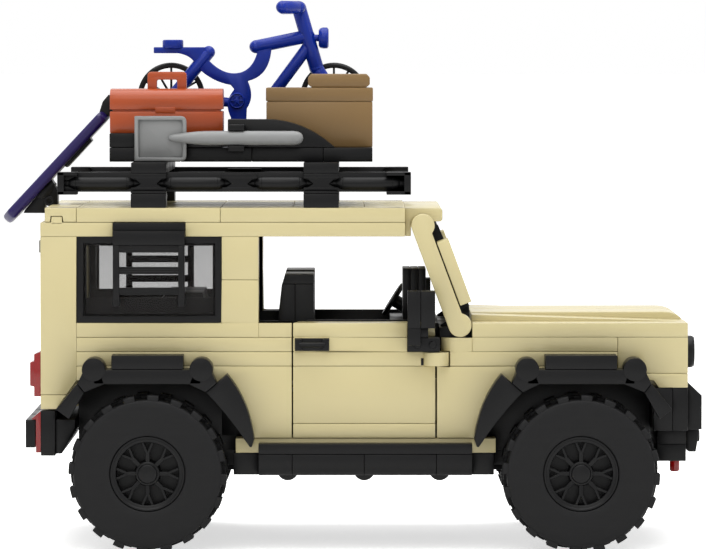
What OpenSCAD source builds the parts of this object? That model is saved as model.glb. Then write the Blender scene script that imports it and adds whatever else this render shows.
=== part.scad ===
// Lifted off-road 4x4, an interlocking-brick toy with a loaded roof rack.
// Millimetres. +X is the front of the vehicle, +Z is up, the ground is z = 0.
// The origin is on the ground at the middle of the overall box.

/* [Brick grid] */
// Pitch of the studs
stud = 8; // [7:0.5:10]
// Height of one plate
plate = 3.2; // [2.6:0.1:4]
// Diameter of a stud
stud_d = 4.8; // [4:0.1:5.2]
// Height of a stud
stud_h = 1.7; // [1.4:0.1:2]
// Diameter of a bar, such as the rack rails
bar_d = 3.18; // [2.6:0.1:4]

/* [Body] */
// Length of the body in studs
studs_long = 18; // [18:1:22]
// Width of the body in studs
studs_wide = 8; // [7:1:10]
// Height of the lower edge of the doors above the ground
sill_z = 25; // [24:0.5:32]
// Plates from the lower edge of the doors to the top of the roof
plates_high = 16; // [15:1:20]
// Thickness of the side walls and doors
wall = 8; // [6:0.5:8]
// Gap between the doors and the body around them
door_gap = 0.15; // [0.1:0.05:0.4]

/* [Wheels] */
// Diameter of the tyres
tyre_d = 35; // [32:0.5:36]
// Width of the tyres
tyre_w = 15; // [12:0.5:15]
// Diameter of the rims where the tyres sit
rim_d = 18.6; // [16:0.2:22]
// Diameter of the wheel axles
axle_d = 4.8; // [4:0.1:5]
// Running clearance of a turning part around its axle
run_fit = 0.05; // [0.02:0.01:0.1]
// How far the tyres stand out past the body side
wheel_out = 8; // [6:0.5:10]
// Studs from the rear face to the rear axle, and from the front face to the front axle
axle_studs = 3; // [3:0.5:3.5]

/* [Doors] */
// Studs from the rear face to the rear edge of the doors
door_rear_n = 7; // [7:0.5:8]
// Studs from the rear face to the front edge of the doors
door_front_n = 11; // [11:0.5:11.5]
// Radius of the hinge knuckles
knuckle_r = 2.8; // [2.2:0.1:3.2]

/* [Roof load] */
// Height of the rack rails above the roof
rail_rise = 5.4; // [4.6:0.1:8]
// Height of the underside of the cargo tray above the roof
tray_rise = 10; // [9.6:0.1:14]
// Diameter of the bicycle tyres
bike_wheel_d = 15.6; // [14:0.2:17]
// Distance between the bicycle axles
bike_base = 37.5; // [36:0.5:40]

/* [Hidden] */

$fn = 48;
hair = 0.1;                       // clearance between neighbouring pieces of the body
front_over = 3.8;                 // front bumper ahead of the body's front face
rear_over = 10.6;                 // carried board behind the body's rear face
body_l = stud * studs_long;
rear_x = -(body_l + front_over + rear_over) / 2 + rear_over;
front_x = rear_x + body_l;
hw = stud * studs_wide / 2;       // half width of the body
cabin_hw = hw - wall;             // half width inside the walls
axle_z = tyre_d / 2;
wheel_face = hw + wheel_out;
flare_out = hw + wheel_out - 1;
rear_axle_x = rear_x + stud * axle_studs;
front_axle_x = front_x - stud * axle_studs;
well_z = sill_z + 4 * plate;      // ceiling of the wheel wells
floor_t = plate;
deck_z = sill_z - door_gap;       // top of the cabin floor
chassis_top = deck_z - floor_t;
b_pillar_n = 6.06;
a_post_n = door_front_n - 0.86;   // rear edge of the front post recess
cowl_n = door_front_n + 1;
well_hw = min(cabin_hw, wheel_face - tyre_w - 1); // half width between the tyres' inner faces
sill_end_x = front_axle_x - 3 * stud; // where the front arch takes over from the sill
belt_k = 8;
nose_x = front_x - stud + hair;   // back of the nose panel
nose_z = pz(7) - stud - plate;    // lower edge of the nose panel
head_k = plates_high - 2;         // top of the windows
roof_k = plates_high;

function sx(n) = rear_x + stud * n;
function pz(k) = sill_z + plate * k;

door_axis = [sx(door_front_n), hw - 0.1];
rear_door_axis = [rear_x - 0.1, -cabin_hw];

TAN = "#D4C89B";
BLACK = "#2A2A2A";
GREY = "#8C8C8C";
RUST = "#B35A36";
BROWN = "#8A6E48";
BLUE = "#1F3A93";
PURPLE = "#3A2478";
RED = "#B01E1E";
SMOKE = "#3B3B40";

// ---------------------------------------------------------------- helpers
module block(x, y, z) {
  translate([x[0], y[0], z[0]]) cube([x[1] - x[0], y[1] - y[0], z[1] - z[0]]);
}

// A profile drawn in X and Z, as thick as the span y
module profile(y) {
  translate([0, y[1], 0]) rotate([90, 0, 0]) linear_extrude(y[1] - y[0]) children();
}

module both_sides() {
  children();
  mirror([0, 1, 0]) children();
}

module side(s) {
  if (s < 0) children();
  else mirror([0, 1, 0]) children();
}

module cross_bar(x, z, r, y) {
  translate([x, y[1], z]) rotate([90, 0, 0]) cylinder(r = r, h = y[1] - y[0]);
}

module long_bar(x, y, z, r) {
  translate([x[0], y, z]) rotate([0, 90, 0]) cylinder(r = r, h = x[1] - x[0]);
}

module bar_between(a, b, r) {
  d = b - a;
  len = norm(d);
  translate(a) rotate([0, acos(d[2] / len), atan2(d[1], d[0])]) cylinder(r = r, h = len);
}

// Points along a smooth bend from a to c, pulled towards b
function curve(a, b, c, n) = [for (i = [0:n]) let (t = i / n)
  a * (1 - t) * (1 - t) + b * 2 * t * (1 - t) + c * t * t];

// ---------------------------------------------------------------- underside
module chassis() color(BLACK) {
  rail_z = axle_z - 4.5;
  slab_z = chassis_top - floor_t;
  difference() {
    union() {
      block([sx(1), nose_x - hair], [-well_hw + hair, well_hw - hair], [slab_z, chassis_top]);
      for (s = [-1, 1])
        block([rear_axle_x, front_axle_x], [s * 11 - 3, s * 11 + 3], [rail_z, slab_z]);
      for (x = [rear_axle_x, front_axle_x])
        block([x - 6, x + 6], [-well_hw + 4, well_hw - 4], [rail_z, slab_z]);
    }
    for (x = [rear_axle_x, front_axle_x])
      cross_bar(x, axle_z, axle_d / 2 + run_fit, [-well_hw - 1, well_hw + 1]);
  }
}

module cabin_floor() color(TAN) {
  block([sx(6), sx(cowl_n)], [-hw + 0.4, hw - 0.4], [chassis_top, deck_z]);
  both_sides() block([sx(5.42), sill_end_x + 5.28], [-hw + 0.4, -cabin_hw], [chassis_top, deck_z]);
}

module wheel_boxes() color(BLACK)
  for (x = [[sx(1), sx(6) - hair], [sx(cowl_n) + hair, nose_x - hair]]) difference() {
    block(x, [-well_hw + hair, well_hw - hair], [chassis_top, well_z]);
    block([x[0] - 1, x[1] + 1], [-well_hw + 3, well_hw - 3], [chassis_top - 1, well_z - plate]);
  }

// The ledges inside the rear windows carry one row of studs each
module load_floor() color(TAN) both_sides() {
  block([sx(1), sx(5)], [-cabin_hw, -cabin_hw + stud], [pz(belt_k - 1), pz(belt_k)]);
  for (n = [1.5:1:4.5])
    translate([sx(n), -cabin_hw + stud / 2, pz(belt_k) - 0.1])
      cylinder(d = stud_d, h = stud_h + 0.1);
}

module axles() color(BLACK)
  for (x = [rear_axle_x, front_axle_x])
    cross_bar(x, axle_z, axle_d / 2, [-wheel_face + 3, wheel_face - 3]);

// ---------------------------------------------------------------- body sides
module rear_side() color(TAN) profile([-hw, -cabin_hw]) polygon([
  [sx(0), pz(2)], [sx(0.43), pz(2)], [sx(1), well_z], [sx(4.6), well_z], [sx(5.75), sill_z],
  [sx(door_rear_n) - door_gap, sill_z], [sx(door_rear_n) - door_gap, pz(belt_k)],
  [sx(b_pillar_n), pz(belt_k)], [sx(b_pillar_n), pz(head_k)], [sx(5.04), pz(head_k)],
  [sx(5.04), pz(belt_k)], [sx(1), pz(belt_k)], [sx(1), pz(head_k)], [sx(0), pz(head_k)]]);

module rear_side_right() rear_side();
module rear_side_left() side(1) rear_side();

module front_fender() color(TAN) difference() {
  union() {
    profile([-hw, -cabin_hw]) polygon([
      [door_axis[0] + 0.2, sill_z], [sx(cowl_n + 0.25), sill_z], [sx(studs_long - 4.6), well_z],
      [sx(studs_long - 0.95), well_z], [sx(studs_long - 0.8), pz(7) - stud - plate],
      [front_x, pz(7) - stud - plate], [front_x, pz(7)], [sx(cowl_n), pz(7)],
      [sx(cowl_n), pz(6)], [door_axis[0] + 0.2, pz(6)]]);
    // rounded end of the upper hinge plate
    intersection() {
      union() {
        block([sx(cowl_n) - 3.6, sx(cowl_n)], [-hw, -hw + post_t], [pz(6), pz(7) - hair]);
        translate([sx(cowl_n) - 3.6, -hw + 3.3, pz(6)]) cylinder(r = 3.3, h = plate - hair);
      }
      block([sx(cowl_n) - 8, sx(cowl_n)], [-hw - 1, -hw + post_t], [pz(6) - 1, pz(7)]);
    }
  }
  translate([door_axis[0], -door_axis[1], pz(5) - hair])
    cylinder(r = knuckle_r + 0.3, h = plate + 2 * hair);
}

module front_fender_right() front_fender();
module front_fender_left() side(1) front_fender();

module roof() color(TAN) difference() {
  union() {
    block([sx(0), sx(a_post_n)], [-hw, hw], [pz(roof_k - 1), pz(roof_k)]);
    both_sides() block([sx(0), sx(a_post_n)], [-hw, -cabin_hw], [pz(head_k), pz(roof_k - 1)]);
    block([sx(0), sx(1)], [-cabin_hw, cabin_hw], [pz(head_k), pz(roof_k - 1)]);
  }
  both_sides() block([sx(2.02) - hair, sx(4.02) + hair], [-hw - 1, -cabin_hw - 0.01],
                     [pz(head_k) - 1, pz(roof_k - 1)]);
}

visor_inset = 3.4;

module roof_visor() color(TAN) {
  r = 0.7;
  x1 = sx(a_post_n + 1.04);
  top = pz(roof_k) - 0.15;
  low = pz(roof_k - 1) + 0.1;
  profile([-hw + visor_inset, hw - visor_inset]) {
    polygon([[sx(a_post_n), low], [x1 - r, low], [x1 - r, top], [sx(a_post_n), top]]);
    polygon([[x1 - r, low + r], [x1, low + r], [x1, top - r], [x1 - r, top - r]]);
    for (z = [low + r, top - r]) translate([x1 - r, z]) circle(r = r);
  }
  block([sx(a_post_n), sx(a_post_n) + 1.3], [-hw + visor_inset, hw - visor_inset],
        [pz(head_k), low]);
}

module hood() color(TAN) {
  rise = 1.5;
  nose_len = 4.8;
  top = pz(belt_k);
  both_sides() {
    block([sx(cowl_n), front_x], [-hw, -cabin_hw], [pz(7), top]);
    profile([-cabin_hw, -cabin_hw + stud]) polygon([
      [sx(cowl_n), pz(7)], [front_x, pz(7)], [front_x, top], [sx(cowl_n), top + rise]]);
  }
  profile([-cabin_hw + stud, cabin_hw - stud]) polygon(concat([
    [sx(cowl_n), pz(7)], [front_x, pz(7)]],
    curve([front_x, top - 0.7], [front_x - 0.8, top + rise + 0.2], [front_x - nose_len, top + rise + 0.2], 6),
    [[sx(cowl_n), top + rise + 0.1]]));
}

module nose_panel() color(TAN) difference() {
  block([nose_x, front_x], [-cabin_hw, cabin_hw], [nose_z, pz(7)]);
  block([front_x - 3, front_x + 1], [-grille_hw, grille_hw], [nose_z + 2.4, pz(7) - 1.6]);
  for (s = [-1, 1]) translate([front_x - 2, s * lamp_y, lamp_z]) rotate([0, 90, 0])
    cylinder(r = lamp_r + hair, h = 3);
}

lamp_y = 18.4;
lamp_r = 3.6;
lamp_z = pz(7) - 3.9;
grille_hw = 13.6;
grille_slots = 5;

module grille() color(BLACK) difference() {
  block([front_x - 3, front_x - 0.6], [-grille_hw + hair, grille_hw - hair],
        [nose_z + 2.4 + hair, pz(7) - 1.6 - hair]);
  for (i = [0:grille_slots - 1])
    translate([front_x - 1.8, (i - (grille_slots - 1) / 2) * 5, (nose_z + pz(7) + 0.8) / 2])
      translate([1, 0, 0]) cube([2, 3.2, 5], center = true);
}

module headlights() color(GREY) for (s = [-1, 1])
  translate([front_x - 2, s * lamp_y, lamp_z]) rotate([0, 90, 0]) {
    cylinder(r = lamp_r, h = 2.5);
    translate([0, 0, 2.5]) cylinder(r1 = lamp_r, r2 = lamp_r - 1, h = 0.7);
  }

// ---------------------------------------------------------------- windscreen
post_top = [sx(door_front_n) - 2.95, pz(roof_k) - 3.95];
post_low = [sx(cowl_n) - 2.7, pz(belt_k) - 0.55];
post_r = 2.6;
post_t = 3.2;
lean = atan2(post_low[0] - post_top[0], post_top[1] - post_low[1]);
post_len = norm(post_low - post_top);

// Places its children along the front posts: x across the post, y down its length
module on_post() translate(post_top) rotate(lean - 180) mirror([1, 0]) children();

module windscreen_posts() color(TAN) both_sides() {
  profile([-hw, -hw + post_t]) {
    translate(post_top) circle(r = post_r);
    translate(post_low) circle(r = post_r);
    on_post() translate([-post_r, 0]) square([post_r + 1.3, post_len]);
  }
  profile([-hw, -cabin_hw]) on_post() translate([1.6, 4.6]) square([2.65, 15]);
}

module windscreen_glass() color(SMOKE) {
  profile([-cabin_hw + hair, cabin_hw - hair]) on_post() translate([1.6, 2]) square([1.6, post_len - 3.6]);
}

module cowl() color(BLACK)
  block([sx(cowl_n) - stud * 0.9, sx(cowl_n) - hair], [-hw + post_t + 0.2, hw - post_t - 0.2],
        [pz(6) + hair, pz(belt_k) - 1.2]);

// ---------------------------------------------------------------- side windows
frame_w = 1.5;

module side_window_frames() color(BLACK) both_sides() difference() {
  block([sx(1) + 0.05, sx(5.04) - 0.05], [-hw + 0.3, -cabin_hw],
        [pz(belt_k), pz(head_k) - 0.05]);
  block([sx(1) + frame_w, sx(5.04) - frame_w], [-hw - 1, -cabin_hw + 1],
        [pz(belt_k) + frame_w, pz(head_k) - frame_w]);
}

module side_window_glass() color(SMOKE) both_sides()
  block([sx(1) + frame_w, sx(5.04) - frame_w], [-hw + 1.6, -hw + 2.6],
        [pz(belt_k) + frame_w, pz(head_k) - frame_w]);

ladder_out = 2.4;

module side_ladders() color(BLACK) both_sides() {
  x0 = sx(2.02);
  x1 = sx(4.02);
  top = pz(roof_k - 1) - hair;
  block([x0, x1], [-hw - 0.6, -cabin_hw - 0.02], [pz(head_k) + hair, top]);
  block([x0, x1], [-hw - ladder_out, -hw - 0.02], [pz(head_k) - 1.8, top - 1.8]);
  for (x = [x0, x1 - 1.3])
    block([x, x + 1.3], [-hw - ladder_out, -hw - 0.6], [pz(head_k) - 15.4, pz(head_k) - 1.8]);
  for (z = [pz(head_k) - 3.4, pz(head_k) - 8.2, pz(head_k) - 12.8])
    block([x0, x1], [-hw - ladder_out + 0.1, -hw - 0.8], [z, z + 1.6]);
}

// ---------------------------------------------------------------- cabin
module dashboard() color(BLACK) {
  block([sx(door_front_n - 1.3), sx(cowl_n) - stud * 0.9 - hair], [-cabin_hw + 0.6, cabin_hw - 0.6],
        [pz(4), pz(belt_k) - 0.4]);
  block([door_axis[0] - 7.2, door_axis[0] - 2], [-10, 6], [pz(belt_k) - 0.5, pz(belt_k) + 11.2]);
}

wheel_tilt = 32;
wheel_y = 12;
steer_r = 4.3;

module steering_wheel() color(BLACK)
  translate([door_axis[0] - 9.2, wheel_y, pz(belt_k) + 3.2]) rotate([0, -90 + wheel_tilt, 0]) {
    translate([0, 0, -4.2]) cylinder(d = bar_d, h = 3.8);
    translate([0, 0, -0.6]) difference() {
      cylinder(r = steer_r, h = 1.2);
      for (a = [0:120:240]) rotate(a + 60) translate([2.15, 0, -1]) cylinder(r = 0.9, h = 4);
    }
  }

seat_x = sx(door_rear_n) - 3.3;

module seats() color(BLACK) both_sides() {
  profile([-cabin_hw + 4, -cabin_hw + 4 + 2 * stud - 0.2]) polygon([
    [seat_x, deck_z], [seat_x + 15.5, deck_z], [seat_x + 15.5, pz(4)], [seat_x + 8, pz(4)],
    [seat_x + 8, pz(belt_k) + 10.3], [seat_x + 1.5, pz(belt_k) + 10.3],
    [seat_x + 0.7, pz(belt_k) + 7.6], [seat_x, pz(belt_k) + 1]]);
}

module rear_seat() color(BLACK)
  block([sx(1.2), sx(4.6)], [-cabin_hw + stud + 0.4, cabin_hw - stud - 0.4],
        [well_z, pz(belt_k) + 6]);

// ---------------------------------------------------------------- flares and sills
disc_u = 11.9;
disc_r = 2.6;
disc_z = well_z + 2.8;

// One arch about its axle: dir = 1 has its short slope at +X, dir = -1 at -X
module flare(axle_x, dir) color(BLACK) profile([-flare_out, -hw])
  translate([axle_x, 0]) mirror([dir < 0 ? 1 : 0, 0]) {
    for (u = [-disc_u, disc_u]) translate([u, disc_z]) circle(r = disc_r);
    translate([-disc_u, disc_z - plate]) square([2 * disc_u, plate]);
    translate([-stud, disc_z - 0.1]) square([2 * stud, plate + 0.1]);
    polygon([[disc_u - 0.6, disc_z - plate], [14, disc_z - 5], [17.4, disc_z - 11],
      [20.2, disc_z - 8.9], [15.6, disc_z - 3], [disc_u + 2.4, disc_z - 0.6], [disc_u, disc_z]]);
    polygon([[-disc_u, disc_z], [-disc_u - 2.4, disc_z - 0.6], [-15.4, disc_z - 3.1],
      [-13, disc_z - 5.1], [-9.8, disc_z - plate]]);
    polygon(concat(
      curve([-17.6, disc_z - 1.1], [-22.6, disc_z - 7], [-23.6, sill_z], 8),
      [[-23.1, sill_z - 1.6]],
      curve([-22.6, sill_z - 1.6], [-18.3, disc_z - 10.6], [-12.9, disc_z - 5], 6)));
  }

module flare_rear_right() flare(rear_axle_x, -1);
module flare_rear_left() side(1) flare(rear_axle_x, -1);
module flare_front_right() flare(front_axle_x, 1);
module flare_front_left() side(1) flare(front_axle_x, 1);

sill_out = 4;

module sills() color(BLACK) both_sides() {
  x = [sx(b_pillar_n), sill_end_x];
  low = deck_z - 8.1;
  mid = deck_z - 3.2;
  block(x, [-hw - sill_out, -hw + 0.4], [mid, deck_z - 0.9]);
  translate([x[0], 0, 0]) rotate([90, 0, 90]) linear_extrude(x[1] - x[0]) {
    polygon([[-hw - sill_out + 3, low], [-hw + 0.4, low], [-hw + 0.4, mid], [-hw - sill_out, mid],
      [-hw - sill_out, low + 3], [-hw - sill_out + 0.9, low + 0.9]]);
  }
  block([x[0] - 5.6, x[1] + 4.9], [-hw + 0.4, -cabin_hw - hair], [low, chassis_top]);
  for (n = [6.87, 9, 11.1])
    cross_bar(sx(n), low + 1.1, stud_d / 2, [-hw + 0.4, -cabin_hw - hair]);
}

// ---------------------------------------------------------------- bumpers and lights
bumper_x = front_x - stud + 0.4;

module bumper_front() color(BLACK) {
  block([bumper_x, front_x], [-hw, hw], [nose_z - 9.6, nose_z - hair]);
  profile([-hw + 4, hw - 4]) polygon([
    [front_x, nose_z - 9.7], [front_x + 3.4, nose_z - 9.7], [front_x + 3.4, nose_z - 2],
    [front_x + 0.6, nose_z + 0.6], [front_x, nose_z + 0.6]]);
  block([front_x - 6.1, front_x + 0.4], [-20, 20], [nose_z - 17.3, nose_z - 9.6]);
}

hook_y = 14;

module tow_hooks() color(BLACK) for (s = [-1, 1]) {
  block([front_x + 0.4 + hair, front_x + 2.9], [s * hook_y - 3.2, s * hook_y + 3.2],
        [nose_z - 15.4, nose_z - 9.7 - hair]);
  block([front_x + 2.9, front_x + front_over], [s * hook_y - 1.6, s * hook_y + 1.6],
        [nose_z - 14, nose_z - 9.7 - hair]);
}

module tow_pin() color(RED)
  translate([front_x - 0.9, 0, nose_z - 21.2]) cylinder(d = 2.3, h = 3.9);

bumper_top = pz(2) - 0.4;
lens_t = 1.1;

module bumper_rear() color(BLACK) {
  x = rear_x;
  top = bumper_top;
  block([x, x + 3.2], [-hw, hw], [top - 10, top]);
  block([x - 3.4, x - lens_t - hair], [-hw + 0.2, hw - 0.2], [top - 8.2, top - 2]);
  block([x - lens_t - hair, x], [-cabin_hw + hair, cabin_hw - hair], [top - 8, top - 2.2]);
  profile([-hw + 1, hw - 1]) polygon([[x + 3.2, top - 9.6], [x + 4.6, top - 9.6],
    [x + stud - 0.4, top - 4], [x + stud - 0.4, top - 2], [x + 3.2, top - 2]]);
}

module tail_lights() color(RED) both_sides() {
  x = rear_x;
  profile([-hw + 0.5, -cabin_hw - 0.7]) polygon([
    [x, pz(3) - 0.4], [x - 1.5, pz(3) - 0.4], [x - 1.5, pz(3) + 1.8],
    [x - 2.4, pz(3) + 2], [x - 2.4, pz(3) + 7.2], [x - 1.5, pz(3) + 7.4],
    [x - 1.5, pz(3) + 9], [x, pz(3) + 9.6]]);
  profile([-hw, -cabin_hw]) polygon([
    [x, bumper_top - 9.3], [x - lens_t, bumper_top - 9.3], [x - lens_t, bumper_top - 1.9],
    [x - 2, bumper_top - 1.9], [x - 2, bumper_top - 1.7], [x, bumper_top]]);
}

// ---------------------------------------------------------------- doors
handle_x = sx(door_rear_n) + 0.5;

// How far the inner corner of a door's free edge steps back so that it swings clear
function relief(reach, depth) = reach - sqrt(reach * reach - depth * depth) + 0.1;

module door() {
  x = [sx(door_rear_n) + door_gap, door_axis[0] - 0.2];
  inner = -cabin_hw + door_gap;
  color(TAN) difference() {
    union() {
      translate([0, 0, sill_z]) linear_extrude(pz(belt_k) - sill_z) polygon([
        [x[0], -hw], [x[1], -hw], [x[1], inner],
        [x[0] + relief(door_axis[0] - x[0], wall), inner]]);
      translate([door_axis[0], -door_axis[1], pz(5) + hair])
        cylinder(r = knuckle_r, h = plate - 2 * hair);
      block([door_axis[0] - 0.3, door_axis[0]], [-door_axis[1] - 0.1, -door_axis[1] + 1.6],
            [pz(5) + hair, pz(6) - hair]);
    }
    block([sx(a_post_n + 0.05), door_axis[0] + 1], [-hw - 1, -hw + post_t + 0.2],
          [pz(6), pz(belt_k) + 1]);
  }
}

module door_handle() color(BLACK)
  block([handle_x, handle_x + 7.8], [-hw - 1.6, -hw], [pz(6) + 0.1, pz(7) - 0.1]);

module door_right() { door(); door_handle(); }
module door_left() side(1) { door(); door_handle(); }

module mirror_piece() color(BLACK) {
  block([sx(a_post_n + 0.05) + 0.1, door_axis[0] + 0.8], [-hw - 2.4, -hw + post_t],
        [pz(6) + 0.1, pz(belt_k) - 0.9]);
  block([door_axis[0] - 6.4, door_axis[0] - 0.3], [-hw - 5.6, -hw - 0.6],
        [pz(belt_k) - 0.9, pz(belt_k) + 7.3]);
}

module mirror_right() mirror_piece();
module mirror_left() side(1) mirror_piece();

// ---------------------------------------------------------------- rear door
rear_win_z = pz(belt_k);

module rear_door() color(TAN) difference() {
  y = [-cabin_hw + door_gap, cabin_hw - door_gap];
  inner = sx(1) - hair;
  translate([0, 0, pz(2) + door_gap]) linear_extrude(pz(head_k) - pz(2) - 2 * door_gap)
    polygon([[rear_x, y[0]], [inner, y[0]], [inner, y[1] - relief(y[1] - y[0], stud)],
             [rear_x, y[1]]]);
  block([sx(0) - 1, sx(1) + 1], [-cabin_hw + 5, cabin_hw - 5], [rear_win_z, pz(head_k) - 3.4]);
}

module rear_door_glass() {
  color(SMOKE) block([sx(0) + 1.4, sx(0) + 2.6], [-cabin_hw + 5, cabin_hw - 5],
                     [rear_win_z, pz(head_k) - 3.4]);
}

// ---------------------------------------------------------------- wheels
rim_w = tyre_w - 1.2;

module tyre(x) color(BLACK) translate([x, -wheel_face, axle_z]) rotate([-90, 0, 0])
  rotate_extrude() polygon([
    [rim_d / 2 + run_fit, 0.8], [tyre_d / 2 - 1.6, 0], [tyre_d / 2 - 0.4, 2.6],
    [tyre_d / 2, 5], [tyre_d / 2, tyre_w - 5], [tyre_d / 2 - 0.4, tyre_w - 2.6],
    [tyre_d / 2 - 1.6, tyre_w], [rim_d / 2 + run_fit, tyre_w - 0.8]]);

module tyre_rear_right() tyre(rear_axle_x);
module tyre_rear_left() side(1) tyre(rear_axle_x);
module tyre_front_right() tyre(front_axle_x);
module tyre_front_left() side(1) tyre(front_axle_x);

module rim(x) color(BLACK) translate([x, -wheel_face, axle_z]) rotate([-90, 0, 0]) difference() {
  union() {
    rotate_extrude() polygon([
      [rim_d / 2 - 1.2, 0.6], [rim_d / 2, 0.6], [rim_d / 2, rim_w], [rim_d / 2 - 1.2, rim_w]]);
    translate([0, 0, 3.2]) cylinder(d = rim_d - 1, h = 2.4);
    translate([0, 0, 2]) cylinder(d = axle_d + 2.4, h = rim_w - 2);
  }
  translate([0, 0, 2.8]) cylinder(d = axle_d + 2 * run_fit, h = rim_w);
}

module rim_rear_right() rim(rear_axle_x);
module rim_rear_left() side(1) rim(rear_axle_x);
module rim_front_right() rim(front_axle_x);
module rim_front_left() side(1) rim(front_axle_x);

// ---------------------------------------------------------------- roof rack
roof_z = pz(roof_k);
rail_z = roof_z + rail_rise;
rail_y = hw - 4;
tray_z = roof_z + tray_rise;
post_n = [3, 7.8];
clip_n = [3, 5.53, 7.8];
tray_x = [sx(1.85), sx(9.24)];
tray_hw = 20;

module roof_rack() color(BLACK) {
  both_sides() {
    long_bar([sx(0.46) + 0.4, sx(10.3) - 0.4], -rail_y, rail_z, bar_d / 2);
    for (x = [[sx(0.46), sx(1.01)], [sx(9.62), sx(10.3)]])
      block(x, [-rail_y - 2.5, -rail_y + 2.5], [rail_z - 2.5, rail_z + 2.5]);
    for (n = clip_n)
      block([sx(n) - 3.9, sx(n) + 3.9], [-rail_y - 2.2, -rail_y + 2.2],
            [rail_z - 1.7, rail_z + 2.2]);
    for (n = post_n)
      block([sx(n) - 3.9, sx(n) + 3.9], [-rail_y - 3.9, -rail_y + 3.9],
            [roof_z, rail_z - 1.6]);
  }
  for (n = post_n)
    block([sx(n) - 3.9, sx(n) + 3.9], [-rail_y - 2, rail_y + 2], [rail_z + 2.2, tray_z]);
}

box_l = 25.4;                     // toolbox length
box_y = [-17, -5];                // toolbox sides
box_h = 10;                       // toolbox height under its handle
slope_y = -tray_hw + stud;        // far side of the curved slope
slope_h = 2 * plate - hair;
slope_l = 24;
crate_y = [slope_y + hair, 3.8];
bike_deck_y = crate_y[1] + 0.2;   // near edge of the deck under the bicycle
clip_u = [26.8, 30.4];            // the shovel's clip, along the tray
shovel_y = -tray_hw - 3.2;
shovel_z = tray_z + plate + 2.2;

module cargo_tray() color(BLACK) {
  low = tray_z + plate;
  u = tray_x[0] + box_l + 1.2;
  block(tray_x, [-tray_hw, tray_hw], [tray_z, low]);
  block(tray_x, [bike_deck_y, tray_hw], [low, low + plate]);
  block([tray_x[0], tray_x[0] + box_l], [-tray_hw, bike_deck_y], [low, low + plate]);
  profile([-tray_hw, slope_y]) polygon(concat(
    [[u, low], [u, low + slope_h]],
    curve([u + 8.4, low + slope_h], [u + 17, low + slope_h], [u + slope_l, low], 6)));
  for (z = [[shovel_z - bar_d / 2 - 1.5, shovel_z - bar_d / 2 - run_fit],
            [shovel_z + bar_d / 2 + run_fit, shovel_z + bar_d / 2 + 1.5]])
    block([tray_x[0] + clip_u[0], tray_x[0] + clip_u[1]], [shovel_y - 1.2, -tray_hw], z);
}

load_z = tray_z + 2 * plate;

module toolbox() color(RUST) {
  x = [tray_x[0], tray_x[0] + box_l];
  mid = (x[0] + x[1]) / 2;
  yc = (box_y[0] + box_y[1]) / 2;
  top = load_z + box_h;
  shoulder = top - 2.6;
  translate([x[0], 0, 0]) rotate([90, 0, 90]) linear_extrude(box_l) polygon(concat(
    [[box_y[1], load_z], [box_y[0], load_z]],
    curve([box_y[0], shoulder], [box_y[0] + 0.2, top], [yc - 2.6, top], 6),
    curve([yc + 2.6, top], [box_y[1] - 0.2, top], [box_y[1], shoulder], 6)));
  difference() {
    block([mid - 4.4, mid + 4.4], [yc - 1.6, yc + 1.6], [top, top + 3.8]);
    block([mid - 2.3, mid + 2.3], [yc - 3, yc + 3], [top - 1, top + 2]);
  }
}

crate_x = [tray_x[1] - 3 * stud, tray_x[1]];
crate_h = 10.3;
lid_t = 3.1;

module crate() color(BROWN) {
  z = tray_z + plate;
  block(crate_x, crate_y, [z, z + crate_h]);
  block([crate_x[0] - 0.1, crate_x[1] + 0.1], [crate_y[0], crate_y[1] + 0.1],
        [z + crate_h, z + crate_h + lid_t]);
  block([crate_x[0] + 9.4, crate_x[1] - 0.6], [crate_y[0] + 0.8, crate_y[1] - 0.8],
        [z + crate_h + lid_t, z + crate_h + 2 * lid_t]);
}

module shovel() color(GREY) {
  x0 = tray_x[0] + 5.8;
  neck = x0 + 16;
  block([x0, x0 + 11.6], [shovel_y + 0.2, shovel_y + 1.6], [shovel_z - 5.2, shovel_z + 4.9]);
  translate([x0 + 7.4, shovel_y, shovel_z]) rotate([0, 90, 0])
    cylinder(r1 = bar_d / 4, r2 = bar_d / 2, h = neck - x0 - 7.4);
  long_bar([neck, x0 + 37.8], shovel_y, shovel_z, bar_d / 2);
}

// ---------------------------------------------------------------- bicycle
bike_y = 9.6;
bike_pin_r = 0.8;
bike_wheel_off = 2.75;            // the wheels turn beside the frame tubes
bike_clear = 0.3;                 // gap between the bicycle tyres and the tray
bike_z = load_z + bike_wheel_d / 2 + bike_clear;
bike_x = tray_x[0] + 12.8;

function bk(u, w) = [bike_x + u, bike_y, bike_z + w];

frame_t = 2.2;

// Flat plate of the bicycle: the saddle plank, the dipped beam and the foot, about the rear axle
module bike_plate(foot_w) polygon(concat(
  [[-3.9, 9.9], [1.7, 9.9]],
  curve([1.7, 9.9], [4.9, 9.4], [5.8, 7.1], 4), curve([5.8, 7.1], [9, 3.4], [13.8, 2.6], 5),
  curve([14.6, 1.6], [12, -1.2], [13.8, -4.9], 5), [[13.8, foot_w], [17.4, foot_w], [17.4, -4.9]],
  curve([17.5, -2.8], [19.4, 0], [17.7, 3.5], 5), curve([17.7, 3.5], [22.9, 4.6], [23.2, 10.4], 6),
  [[19.9, 10.4]], curve([19.8, 9.8], [18.4, 5.3], [14.5, 5.3], 6),
  curve([14.5, 5.3], [11.6, 5.3], [8.8, 8.2], 5), [[8.8, 11.3], [-3.9, 11.3]]));

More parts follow.
